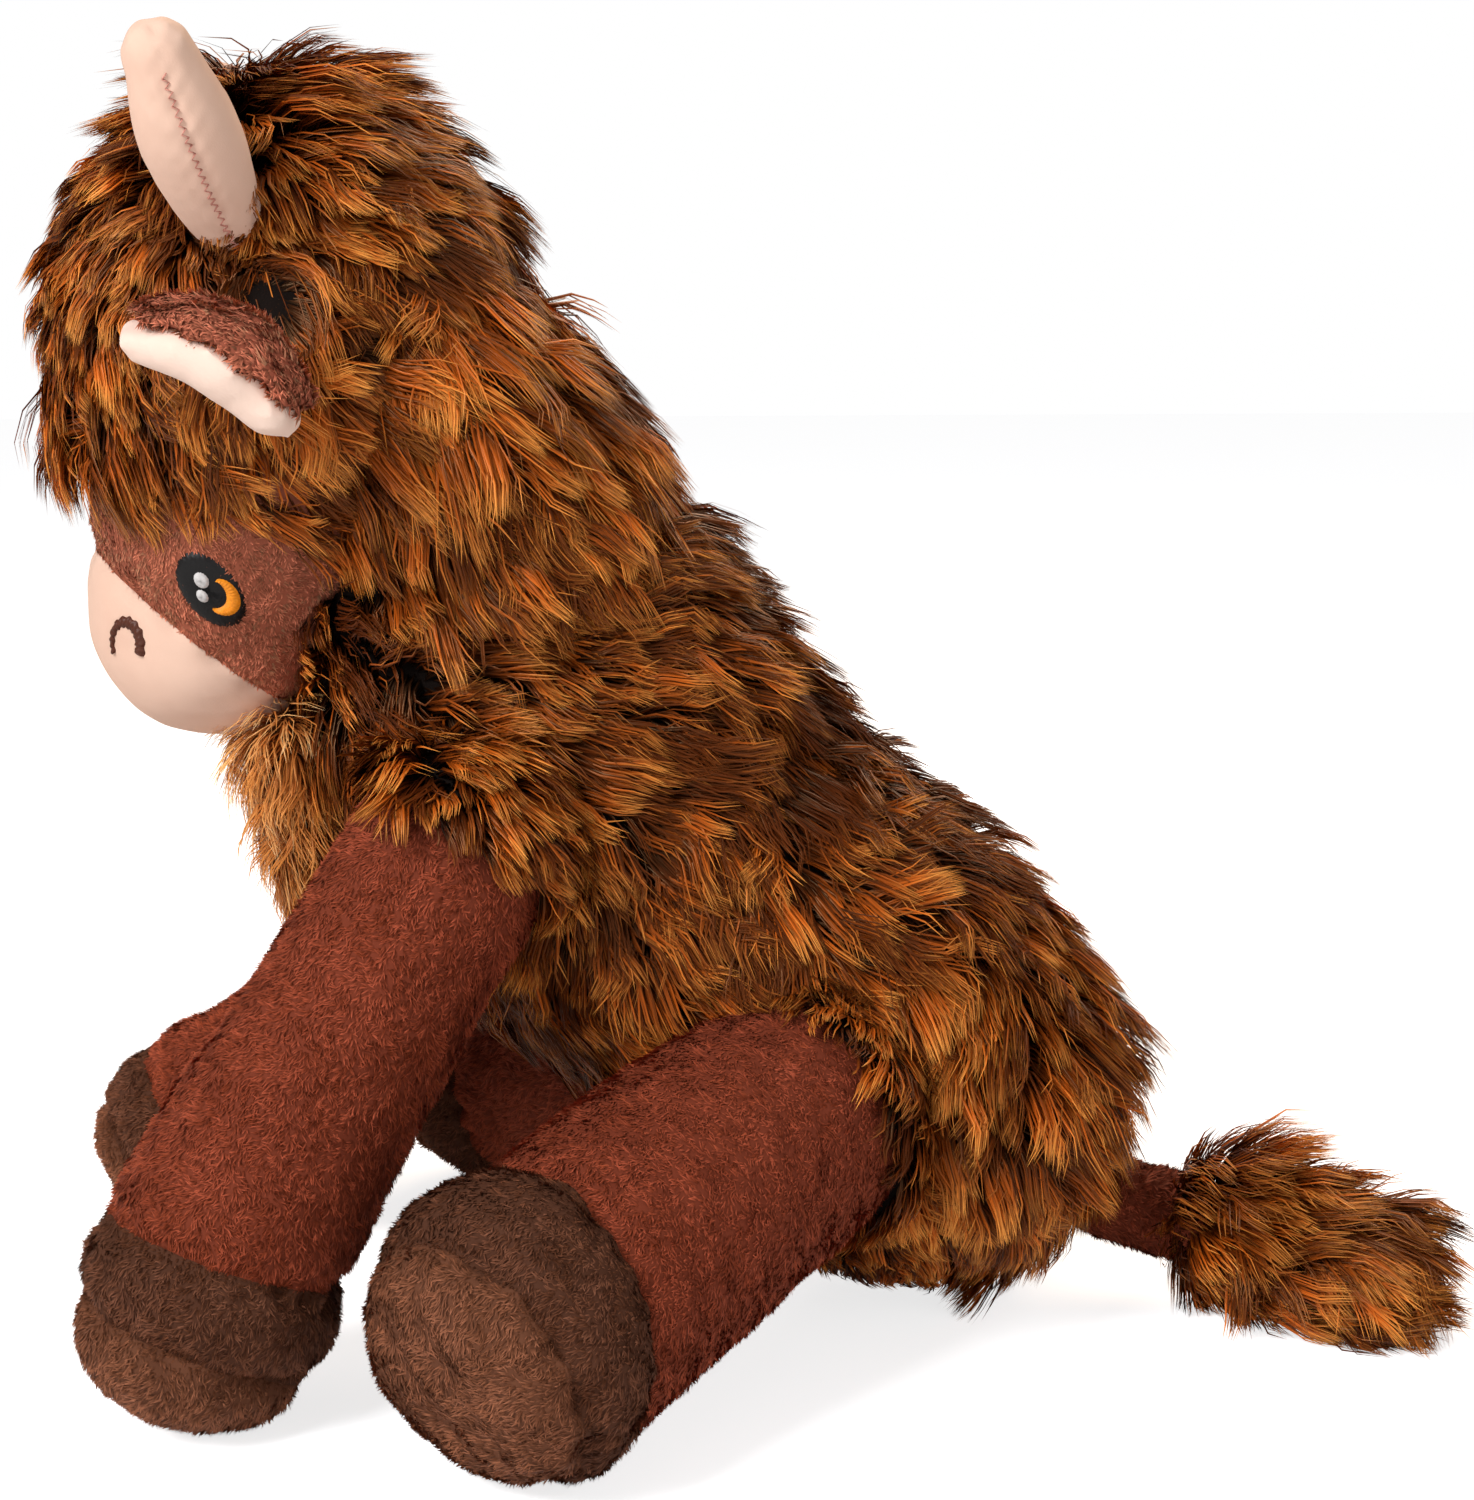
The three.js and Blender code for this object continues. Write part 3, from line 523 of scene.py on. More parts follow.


def comb(roots, normals, flow, rng, length, lift, yaw, wave, waves, lock=44, wisp=6, meet=0.5, hug=0.0, share=1):
    """The lines that the blades follow, one row of points each: locks of hairs that lean, wave and meet."""
    count = len(roots)
    lock, lock_middle = gather(roots, lock, rng)
    locks = len(lock_middle)
    yaw = (rng.normal(0, yaw, locks)[lock] + rng.normal(0, 0.16, count))[:, None]
    side = np.cross(normals, flow)
    flow = flow * np.cos(yaw) + side * np.sin(yaw)
    side = np.cross(normals, flow)
    length = length * rng.uniform(0.74, 1.2, locks)[lock] * rng.uniform(0.78, 1.08, count)
    length = length * share
    lift = lift + rng.normal(0, 0.2, locks)[lock] + rng.normal(0, 0.08, count)
    t = (np.arange(STEPS) + 0.5) / STEPS
    hug = hug + np.zeros(count)
    angle = (lift[:, None] * (1 - t) ** 1.3 - hug[:, None] * t)[..., None]
    steps = flow[:, None] * np.cos(angle) + normals[:, None] * np.sin(angle)
    lines = np.concatenate([np.zeros((count, 1, 3)), np.cumsum(steps, axis=1)], axis=1)
    lines *= (length / STEPS)[:, None, None]
    lines += roots[:, None]
    t = np.linspace(0, 1, STEPS + 1)[None, :, None]
    phase = (rng.uniform(0, 2 * pi, locks)[lock] + rng.normal(0, 0.3, count))[:, None, None]
    size = (wave * rng.uniform(0.4, 1.3, locks)[lock])[:, None, None]
    lines += side[:, None] * size * t * np.sin(2 * pi * waves * t + phase)
    lines += normals[:, None] * 0.5 * size * t * np.sin(2 * pi * waves * t + phase + 1.3)
    bound = np.where(rng.random(count) < LOOSE, 0.2, 1)[:, None, None]
    lines += (lines[lock_middle][lock] - lines) * meet * t * bound
    wisp, wisp_middle = gather(roots, wisp, rng)
    lines += (lines[wisp_middle][wisp] - lines) * 0.55 * t**1.5 * bound
    return lines, lock


def nearest_on(points, start, end):
    """The nearest point of a line to each point."""
    axis = end - start
    share = np.clip(((points - start) @ axis) / axis.dot(axis), 0, 1)
    return start + share[..., None] * axis


def keep_out(lines, capsules):
    """Pushes the blades' points out of round-ended tubes: (start, end, radius)."""
    for start, end, radius in capsules:
        nearest = nearest_on(lines, start, end)
        away = lines - nearest
        distance = norm(away, axis=-1, keepdims=True)
        outside = nearest + away / np.maximum(distance, 1e-9) * radius
        inside = (distance < radius) & (np.arange(STEPS + 1)[None, :, None] > 0)
        lines = np.where(inside, outside, lines)
    return lines


def strands(name, points, corners, sizes, across, along, shades):
    """A mesh of blades or tufts with the map of their tones and with normals of their own."""
    mesh = bpy.data.meshes.new(name)
    mesh.vertices.add(len(points))
    mesh.vertices.foreach_set("co", points.astype(np.float32).ravel())
    mesh.loops.add(len(corners))
    mesh.loops.foreach_set("vertex_index", corners.astype(np.int32))
    mesh.polygons.add(len(sizes))
    mesh.polygons.foreach_set("loop_start", np.concatenate([[0], np.cumsum(sizes)[:-1]]).astype(np.int32))
    spread = mesh.uv_layers.new(name=BLADE_MAP)
    spread.data.foreach_set("uv", np.stack([across, along], 1)[corners].astype(np.float32).ravel())
    mesh.update(calc_edges=True)
    mesh.shade_smooth()
    mesh.normals_split_custom_set_from_vertices(shades.astype(np.float32))
    return in_scene(name, mesh)


def blades(name, lines, normals, tone, width, rng):
    """One mesh of narrow blades along the lines, rounded by their normals."""
    count = len(lines)
    lines[..., 2] = np.maximum(lines[..., 2], HAIR_FLOOR)
    heading = unit(np.gradient(lines, axis=1))
    up = unit(normals[:, None] - heading * np.sum(normals[:, None] * heading, axis=-1, keepdims=True))
    wide = np.cross(heading, up)
    twist = rng.normal(0, 0.45, (count, 1, 1))
    wide, up = wide * np.cos(twist) + up * np.sin(twist), up * np.cos(twist) - wide * np.sin(twist)
    half = (width * rng.uniform(0.7, 1.25, count)[:, None] * WIDTHS[None] / 2)[..., None]
    body = lines[:, :STEPS]
    left = body - wide[:, :STEPS] * half
    right = body + wide[:, :STEPS] * half
    pairs = np.stack([left, right], axis=2).reshape(count, 2 * STEPS, 3)
    points = np.concatenate([pairs, lines[:, STEPS:]], axis=1).reshape(-1, 3)
    up_at, wide_at = up[:, :STEPS], wide[:, :STEPS] * BLADE_BULGE
    shades = np.stack([unit(up_at - wide_at), unit(up_at + wide_at)], axis=2).reshape(count, 2 * STEPS, 3)
    shades = np.concatenate([shades, up[:, STEPS:]], axis=1)
    shades = unit(shades + 0.35 * normals[:, None]).reshape(-1, 3)
    per = 2 * STEPS + 1
    corners = []
    for k in range(STEPS - 1):
        corners += [2 * k, 2 * k + 1, 2 * k + 3, 2 * k + 2]
    corners += [2 * STEPS - 2, 2 * STEPS - 1, 2 * STEPS]
    corners = (np.arange(count)[:, None] * per + np.array(corners)).ravel()
    sizes = np.tile([4] * (STEPS - 1) + [3], count)
    tone = np.clip(tone, 0.01, 0.99 - TONE_WIDTH)
    across = np.tile([0, 1] * STEPS + [0.5], count) * TONE_WIDTH + np.repeat(tone, per)
    along = np.tile(np.append(np.repeat(np.arange(STEPS) / STEPS, 2), 1.0) * 0.96 + 0.02, count)
    return strands(name, points, corners, sizes, across, along, shades)


MOST_BLADES = 28000  # the most blades in one piece, about 196,000 triangles; under the limit of 200,000 triangles in a piece
TUFTS = 4.4  # tufts of short pile to a square millimetre
ON_CUT = 0.05 * MM  # what is nearer to a cut's plane than this lies on its cap


def coat_piece(name, body, slot, seed, roots, normals, flow, tone, width=0.43 * MM, blocks=(), **coat):
    """Grows a coat, in as many pieces as its size needs."""
    rng = dice(seed)
    lines, lock = comb(roots, normals, flow, rng, **coat)
    lines = keep_out(lines, blocks)
    groups = lock.max() + 1
    sizes = np.maximum(np.bincount(lock, minlength=groups), 1)
    middles = np.stack([np.bincount(lock, roots[:, k], groups) / sizes for k in range(3)], axis=1)
    off = norm(roots - middles[lock], axis=1)
    # Painted shade between the locks: a hair is darker the nearer it is to its lock's edge.
    tone = tone - LOCK_EDGE_SHADE * (off / off.mean() - 0.8)
    tone = tone + rng.normal(0, LOCK_TONE, groups)[lock] + rng.normal(0, HAIR_TONE, len(roots))
    order = np.argsort(roots[:, 1] * 0.7 + roots[:, 2])
    parts = -(-len(roots) // MOST_BLADES)
    for i, rows in enumerate(np.array_split(order, parts)):
        part_name = name if parts == 1 else f"{name}_{i + 1}"
        piece = blades(part_name, lines[rows], normals[rows], tone[rows], width, rng)
        hand_in(piece, body, slot, look=COVERS[slot][1])


def nap(piece, name, way, body, slot, seed, length=1.4 * MM, width=0.38 * MM, inside=None, seams=()):
    """Covers a piece with short pile: small tufts that lean one way, shorter and darker along the seams."""
    rng = dice(seed)
    count = int(area_of(piece) / MM**2 * TUFTS)
    roots, normals = scatter(piece, count, rng)
    if inside is not None:
        kept = inside(roots, normals)
        roots, normals = roots[kept], normals[kept]
        count = len(roots)
    lay = across_surface(np.asarray(way), normals)
    side = np.cross(normals, lay)
    swirl = waviness(roots, 8, seed + 1) + waviness(roots, 2.4, seed + 7) + rng.normal(0, 0.5, count)
    swirl = 0.7 * swirl[:, None]
    lay = lay * np.cos(swirl) + side * np.sin(swirl)
    side = np.cross(normals, lay)
    lean = np.clip(1.12 + 0.1 * waviness(roots, 6, seed + 2) + rng.normal(0, 0.1, count), 0.8, 1.35)[:, None]
    near = sum(np.exp(-(((roots - at) @ normal) / (1.1 * MM)) ** 2) for at, normal in seams) + np.zeros(count)
    tall = (length * (1 - 0.45 * near) * rng.uniform(0.7, 1.2, count))[:, None]
    half = (width * rng.uniform(0.7, 1.3, count) / 2)[:, None]
    tips = roots + tall * (normals * np.cos(lean) + lay * np.sin(lean))
    points = np.stack([roots + side * half, roots - side * half, tips], axis=1).reshape(-1, 3)
    points[:, 2] = np.maximum(points[:, 2], PILE_FLOOR)
    tone = 0.5 + 0.2 * waviness(roots, 9, seed + 3) + 0.24 * waviness(roots, 1.7, seed + 4)
    tone += rng.normal(0, 0.2, count) - 0.8 * near
    spans = 0.01
    across = np.repeat(np.clip(tone, 0.01, 0.98 - spans), 3) + np.tile([0, 1, 0.5], count) * spans
    along = np.tile([0.03, 0.03, 0.97], count)
    ripple = [0.7 * waviness(roots, 1.7, seed + k)[:, None] for k in (5, 6)]
    shades = np.repeat(unit(normals + lay * (0.15 + ripple[0]) + side * ripple[1]), 3, axis=0)
    pile = strands(name, points, np.arange(3 * count), np.full(count, 3), across, along, shades)
    hand_in(pile, body, slot, look=COVERS[slot][1])


def off_cuts(*planes):
    """A test for places on the cloth itself, not on the cap of a cut."""
    def test(roots, normals):
        off = [(np.abs((roots - at) @ normal) > ON_CUT) | (np.abs(normals @ normal) < 0.7) for at, normal in planes]
        return np.all(off, axis=0)

    return test


# Camera, light and floor

def set_stage():
    camera = in_scene("camera", bpy.data.cameras.new("camera"))
    camera.data.lens = CAMERA["lens"]
    camera.data.sensor_width = CAMERA["film"]
    camera.location = head + np.array(CAMERA["from_head"])
    azimuth, pitch = radians(CAMERA["azimuth"]), radians(CAMERA["pitch"])
    toward = Vector((-sin(azimuth), cos(azimuth), -tan(pitch)))
    camera.rotation_euler = toward.to_track_quat("-Z", "Y").to_euler()
    bpy.context.scene.camera = camera
    bpy.context.scene.view_settings.view_transform = "Standard"

    lamps = {  # place, power, width, colour
        "key": ((0.75, -0.75, 0.85), 16, 0.5, (1, 1, 1)),
        "fill": ((0.9, 0.55, 0.35), 3, 0.8, (1, 1, 1)),
        "rim": ((-0.55, 0.3, 0.8), 6, 0.6, (1, 0.78, 0.55)),
    }
    middle = Vector((0, -0.01, 0.1))
    for name, (place, power, width, colour) in lamps.items():
        lamp = bpy.data.lights.new(name, "AREA")
        lamp.energy = power
        lamp.color = colour
        lamp.size = width
        holder = in_scene(name, lamp)
        holder.location = place
        holder.rotation_euler = (middle - Vector(place)).to_track_quat("-Z", "Y").to_euler()

    world = bpy.data.worlds.new("studio")
    bpy.context.scene.world = world
    world.use_nodes = True
    nodes, links = world.node_tree.nodes, world.node_tree.links
    nodes["Background"].inputs["Color"].default_value = (1, 1, 1, 1)
    rays = nodes.new("ShaderNodeLightPath")
    level = nodes.new("ShaderNodeMapRange")
    level.inputs["To Min"].default_value = 0.25
    level.inputs["To Max"].default_value = 1.0
    links.new(rays.outputs["Is Camera Ray"], level.inputs["Value"])
    links.new(level.outputs["Result"], nodes["Background"].inputs["Strength"])

    size = 3.0
    corners = [(-size, -size, 0), (size, -size, 0), (size, size, 0), (-size, size, 0)]
    floor = new_piece("floor", corners, [(0, 1, 2, 3)])
    look = Look("floor", base_color=paint(236, 236, 238), roughness=0.9)
    look.shader.inputs["Emission Color"].default_value = (1, 1, 1, 1)
    look.feed(emission_strength=look.node("ShaderNodeLightPath", {}, {}) * 0.75)
    floor.data.materials.append(look.material)


set_stage()

# Looks

def short_pile(name, colour):
    """The cloth and the pile of one colour; the cloth is darker, painted shade between the tufts."""
    return cloth_look(f"{name}_cloth", shade(colour, 0.6)), pile_look(f"{name}_pile", colour)


def thread_look(name, colour):
    look = Look(name, roughness=0.45)
    look.shader.inputs["Specular IOR Level"].default_value = 0.25
    ply = look.noise(look.place(), 1.6 / MM, detail=2)
    return look.feed(base_color=look.mix(ply, shade(colour, 0.6), colour), normal=look.bump(ply, 0.4, 0.2 * MM))


PEACH = paint(217, 186, 167)
peach_cloth = cloth_look("peach_cloth", PEACH, grain=2.2, depth=0.12, sheen=0.2, blush=paint(208, 165, 144))
rust = short_pile("rust", paint(143, 64, 40))
COVERS = {  # slot: the cloth, then what grows on it
    # The long fur's near-black backing is painted shade deep in the coat.
    "long_fur": (cloth_look("backing", paint(18, 8, 4), sheen=0), blade_look("long_fur", DARK_FUR, LIGHT_FUR)),
    "tan_fur": (cloth_look("tan_backing", paint(96, 58, 28), sheen=0), blade_look("tan_fur", DARK_TAN, LIGHT_TAN)),
    "rust_minky": rust,
    "belly_minky": rust,
    "hoof_minky": short_pile("hoof", paint(99, 59, 40)),
    "sole_minky": short_pile("sole", paint(126, 77, 53)),
    "face_minky": short_pile("face", paint(184, 102, 76)),
    "ear_minky": short_pile("ear", paint(190, 104, 78)),
    "muzzle_velboa": [peach_cloth],
    "horn_velboa": [peach_cloth],
    "lining_plush": [cloth_look("lining_cloth", paint(228, 203, 189), grain=2.2, depth=0.2, sheen=0.2, blush=PEACH)],
}
THREADS = {
    "black_thread": paint(16, 14, 14),
    "amber_thread": paint(255, 154, 34),
    "white_thread": paint(214, 210, 208),
    "nostril_thread": paint(88, 44, 28),
}
COVERS.update((name, [thread_look(name, colour)]) for name, colour in THREADS.items())
pink_thread = thread_look("pink_thread", paint(226, 156, 140))

# Torso

torso_stations = [(SOURCE + np.array([0, y, z]) * MM, wide * MM, deep * MM) for y, z, wide, deep in TORSO]
torso = Form(torso_stations, NECK_DOME, RUMP_DOME)

# Legs

def turned_down(direction, angle):
    downward = unit(-Z + direction * direction[2])
    return direction * cos(radians(angle)) + downward * sin(radians(angle))


def on_leg(root, direction, leg, distance):
    ankle = leg["length"] * ANKLE * MM
    beyond = max(distance - ankle, 0)
    return root + direction * min(distance, ankle) + turned_down(direction, leg["curl"]) * beyond


def leg_form(root, direction, leg):
    length = leg["length"] * MM
    stations = [
        (on_leg(root, direction, leg, length * share), radius * MM * (1 + leg["flare"] * (share > 0.8)), radius * MM)
        for share, radius in zip(LEG_SHARES, leg["radii"])
    ]
    return Form(stations, leg["radii"][0] * MM, leg["dome"] * MM, unit(np.cross(Z, direction)))


def leg_direction(side, splay, slope):
    level = cos(slope)
    return np.array([side * sin(splay) * level, -cos(splay) * level, -sin(slope)])


def standing_direction(root, leg, side, splay):
    """The slope at which the hoof's lowest point is just under the floor."""
    flatter, steeper = 0.0, pi / 2
    for _ in range(16):
        slope = (flatter + steeper) / 2
        form = leg_form(root, leg_direction(side, splay, slope), leg)
        if form.points(12, 6, 3)[:, 2].min() > -FLAT_DEPTH:
            flatter = slope
        else:
            steeper = slope
    return leg_direction(side, splay, steeper)


leg_tubes = {}  # a straight tube in each leg, which the fur stays out of


def add_leg(name, leg):
    side = 1 if name.endswith("left") else -1
    root = pivots[name]
    direction = standing_direction(root, leg, side, radians(leg["splay"]))
    form = leg_form(root, direction, leg)
    length = leg["length"] * MM
    whole = form.mesh(f"{name}_form", 72, 60, 8, grow=-1.3 * MM)
    foot = turned_down(direction, leg["curl"])
    band_normal = turned_down(direction, leg["turn"])
    band_edge = on_leg(root, direction, leg, length - leg["band"] * MM)
    sole_edge = on_leg(root, direction, leg, length - leg["bulge"] * MM)
    seed = len(leg_tubes) * 20
    lumps(whole, 0.4 * MM, 30, seed)
    seams = (band_edge, band_normal), (sole_edge, foot)
    stuff(whole, 1.8 * MM, lambda p: np.any([np.abs((p - at) @ normal) < 1.6 * MM for at, normal in seams], axis=0))
    lumps(whole, 0.18 * MM, 9, seed + 1)
    dent_seam(whole, band_edge, band_normal, seed + 2)
    dent_seam(whole, sole_edge, foot, seed + 3, depth=1.5 * MM)
    points = places(whole)
    points[:, 2] = np.maximum(points[:, 2], SOLE_FLOOR)
    move_to(whole, points)
    parts = {  # slot, cuts and the nodes that it stands for
        "sleeve": ("rust_minky", [(band_edge, band_normal)], (f"{name}_sleeve", f"{name}_filling")),
        "hoof_band": ("hoof_minky", [(band_edge, -band_normal), (sole_edge, foot)], (f"{name}_hoof_band",)),
        "sole": ("sole_minky", [(sole_edge, -foot)], (f"{name}_sole",)),
    }
    leg_tubes[name] = root, on_leg(root, direction, leg, length * ANKLE), (leg["radii"][1] - 1) * MM
    for part, (slot, planes, nodes) in parts.items():
        piece = part_of(whole, f"{name}_{part}", planes, name, slot, *nodes, fill=0.85)
        nap(piece, f"{name}_{part}_nap", direction, name, slot, seed + 5, inside=off_cuts(*planes), seams=seams)
    bpy.data.objects.remove(whole)


for leg_name, leg in LEGS.items():
    add_leg(leg_name, leg)

# Head

def from_head(x, y, z):
    """A place in mm from the middle of the head."""
    return head + np.array([x, y, z]) * MM


face_stations = [(head, HEAD_CORE, HEAD_CORE)]
face_stations += [(from_head(0, y, z), wide * MM, deep * MM) for y, z, wide, deep in FACE]
face = Form(face_stations, HEAD_CORE, MUZZLE_DOME)
muzzle = face_stations[3][0]
muzzle_axis = np.array([0, -cos(radians(MUZZLE_TILT)), -sin(radians(MUZZLE_TILT))])
face_edge = from_head(0, FACE_EDGE["y"], FACE_EDGE["z"])
faceward = np.array([0, -cos(radians(FACE_EDGE["steepness"])), -sin(radians(FACE_EDGE["steepness"]))])


def add_face():
    whole = face.mesh("face_form", 96, 60, 14, grow=-0.9 * MM)
    stuff(whole, 1.2 * MM, lambda p: np.abs((p - muzzle) @ muzzle_axis) < 1.4 * MM, voxel=2.8 * MM)
    lumps(whole, 0.3 * MM, 26, 90)
    dent_seam(whole, muzzle, muzzle_axis, 91, depth=0.8 * MM, width=1.6 * MM)
    cuts = (muzzle, muzzle_axis), (face_edge - faceward * 12 * MM, -faceward)
    panel = part_of(whole, "face_panel", cuts, "head", "face_minky", "face_panel", "head_filling", fill=0.9)

    def outer(roots, normals):
        on_cloth = ((roots - muzzle) @ muzzle_axis < -ON_CUT) | (np.abs(normals @ muzzle_axis) < 0.7)
        return on_cloth & ((roots - face_edge) @ faceward > -4 * MM)

    nap(panel, "face_panel_nap", (0, 0.35, -1), "head", "face_minky", 92, 0.9 * MM, 0.4 * MM, inside=outer)
    part_of(whole, "muzzle_cover", [(muzzle, -muzzle_axis)], "head", "muzzle_velboa", "muzzle_cover", fill=0.9)
    return whole


def tree_of(piece):
    """The piece's faces, for casting rays at them and finding the nearest."""
    return BVHTree.FromPolygons([tuple(p) for p in places(piece)], [tuple(f.vertices) for f in piece.data.polygons])


face_whole = add_face()
face_tree = tree_of(face_whole)


def stitched(name, outward, up, middle, place, rows, columns, height, slot, *nodes):
    """Thread on the face: a grid of points in the plane of the stitching, dropped onto the cloth."""
    x = unit(np.cross(up, outward))
    y = np.cross(outward, x)
    points = []
    for i in range(rows + 1):
        for j in range(columns + 1):
            a, b, rise = place(i / rows, j / columns)
            start = middle + x * a + y * b + outward * 20 * MM
            hit, normal, _, _ = face_tree.ray_cast(Vector(start), Vector(-outward))
            points.append(np.array(hit) + np.array(normal) * height * rise)
    faces = []
    for i in range(rows):
        for j in range(columns):
            k = i * (columns + 1) + j
            faces.append((k, k + columns + 1, k + columns + 2, k + 1))
    piece = new_piece(name, points, faces)
    apply(piece, "WELD", merge_threshold=0.02 * MM)
    hand_in(piece, "head", slot, *nodes)


def add_eye(side_name, side):
    turn = radians(EYE["side"])
    outward = unit([side * sin(turn), -cos(turn), -0.12])
    middle = face_stations[2][0] + Y * EYE["behind"] + Z * EYE["above"] + outward * (face_stations[2][1] - 4 * MM)
    up = np.array([0, -sin(radians(EYE["tilt"])), cos(radians(EYE["tilt"]))])
    half_wide, half_tall = EYE["across"] / 2, EYE["tall"] / 2
    facing = -side  # the way to the nose, along the stitching's own x

    def outline(t, s):
        turn = 2 * pi * t
        edge = 1 + 0.02 * sin(31 * turn)
        rise = sqrt(max(1 - s**6, 0)) - 0.15 + 0.1 * sin(46 * turn) * (1 - s)
        return half_wide * s * edge * cos(turn), half_tall * s * edge * sin(turn), rise

    node = f"eye_outline_{side_name}"
    stitched(node, outward, up, middle, outline, 96, 10, 0.75 * MM, "black_thread", node)
    from_turn, to_turn = radians(-126), radians(28)

    def iris(t, s):
        turn = from_turn + (to_turn - from_turn) * t
        taper = sin(pi * min(max(t, 0), 1)) ** 0.6
        r = 2.4 * MM + 2.1 * MM * taper * s
        a = -facing * (0.1 * MM + 0.92 * r * cos(turn))
        b = 1.15 * r * sin(turn) - 0.2 * MM
        rise = 1.25 * sin(pi * (0.08 + 0.84 * s)) ** 0.5 + 0.08 * sin(50 * turn)
        return a, b, rise

    node = f"eye_iris_{side_name}"
    stitched(node, outward, up, middle, iris, 72, 8, 1.0 * MM, "amber_thread", node)
    for number, (a0, b0, wide, tall) in enumerate([(-0.2, 2.3, 1.2, 1.5), (1.3, 0.1, 0.9, 1.25)]):
        def glint(t, s, a0=a0, b0=b0, wide=wide, tall=tall):
            turn = 2 * pi * t
            rise = 1.3 * sqrt(max(1 - 0.9 * s**4, 0)) + 0.06 * sin(16 * turn)
            return facing * a0 * MM + wide * s * cos(turn) * MM, b0 * MM + tall * s * sin(turn) * MM, rise

        node = f"eye_glint_{side_name}"
        nodes = [node] if number == 0 else []
        stitched(f"{node}_{number + 1}", outward, up, middle, glint, 36, 6, 0.95 * MM, "white_thread", *nodes)


def add_nostril(side_name, side):
    turn = radians(NOSTRIL["side"])
    outward = unit([side * sin(turn), -cos(turn), -0.15])
    middle = muzzle + outward * (face_stations[3][1] - 4 * MM) + Z * NOSTRIL["rise"]
    lean = radians(NOSTRIL["lean"])

    def arch(t, s):
        turn = pi * (1.2 - 1.26 * t)
        thick = NOSTRIL["stroke"] * (0.35 + 0.75 * t**0.7)
        r = NOSTRIL["radius"] - thick * (1 - s) + 0.3 * MM * sin(60 * t) * (s - 0.5)
        rise = sin(pi * s) ** 0.5 * (1 + 0.22 * sin(95 * t)) - 0.2
        a, b = r * cos(turn), 1.3 * r * sin(turn)
        return side * (a * cos(lean) + b * sin(lean)), b * cos(lean) - a * sin(lean), rise

    node = f"nostril_{side_name}"
    stitched(node, outward, Z, middle, arch, 60, 6, 0.7 * MM, "nostril_thread", node)


for side_name, side in SIDES:
    add_eye(side_name, side)
    add_nostril(side_name, side)

# Horns

horn_tubes = []


def add_horn_stitches(side_name, horn, form, outward, direction):
    """Short threads that cross the seam, leaning one way and then the other."""
    tree = tree_of(horn)
    across = np.cross(direction, outward)
    points, faces = [], []
    for i, share in enumerate(np.linspace(0.06, 0.97, 52)):
        hit, normal, _, _ = tree.ray_cast(Vector(form.at(share) + outward * 20 * MM), Vector(-outward))
        normal = np.array(normal)
        lean = 0.7 if i % 2 else -0.7
        along = unit(across * cos(lean) + direction * sin(lean))
        wide = np.cross(normal, along)
        for end in (-1, 1):
            for a, b in ((-1, 0), (0, 1.6), (1, 0), (0, -0.6)):
                sunk = 0.3 * MM if b > 0 else -0.1 * MM
                points.append(np.array(hit) + along * end * 0.6 * MM + wide * a * 0.13 * MM + normal * sunk)
        k = 8 * i
        faces += [(k + j, k + (j + 1) % 4, k + 4 + (j + 1) % 4, k + 4 + j) for j in range(4)]
        faces += [(k + 3, k + 2, k + 1, k), (k + 4, k + 5, k + 6, k + 7)]
    stitches = new_piece(f"horn_stitches_{side_name}", points, faces)
    hand_in(stitches, "head", "horn_velboa", look=pink_thread)


def add_horn(side_name, side):
    spread, rise = radians(HORN["side"]), radians(HORN["rise"])
    outward = unit([side * sin(spread), -0.12, cos(spread)])
    root = head + outward * (HEAD_CORE - 4 * MM)
    direction = unit([side * cos(rise), -0.27, sin(rise)])
    inward = unit([-side * sin(rise), 0, cos(rise)])

    def station(share, girth, bow):
        at = root + direction * HORN["length"] * share - inward * HORN["bow"] * bow
        return at, HORN["radius"] * girth, HORN["radius"] * girth * 0.86

    stations = [station(0, 0.42, 0), station(0.3, 0.86, 0.8), station(0.6, 1.0, 1), station(0.88, 0.7, 0.4)]
    form = Form(stations, 2 * MM, HORN["length"] * 0.12, Y)
    horn = form.mesh(f"horn_{side_name}", 48, 60, 8)
    stuff(horn, 0.6 * MM, voxel=1.9 * MM)
    points, normals = places(horn), normals_of(horn)
    off = np.abs((points - root) @ unit(np.cross(direction, outward)))
    front = normals @ outward > 0
    groove = np.exp(-((off / (1.1 * MM)) ** 2)) * front
    pull = 0.28 * MM * groove + 0.2 * MM * np.exp(-off / (2.2 * MM)) * waviness(points, 4, 40)
    move_to(horn, points - normals * pull[:, None])
    hand_in(horn, "head", "horn_velboa", f"horn_cover_{side_name}", f"horn_filling_{side_name}", fill=0.95)
    horn_tubes.append((root, form.at(0.9), 6.5 * MM))
    add_horn_stitches(side_name, horn, form, unit(outward - direction * outward.dot(direction)), direction)


# Ears

ear_tubes = []


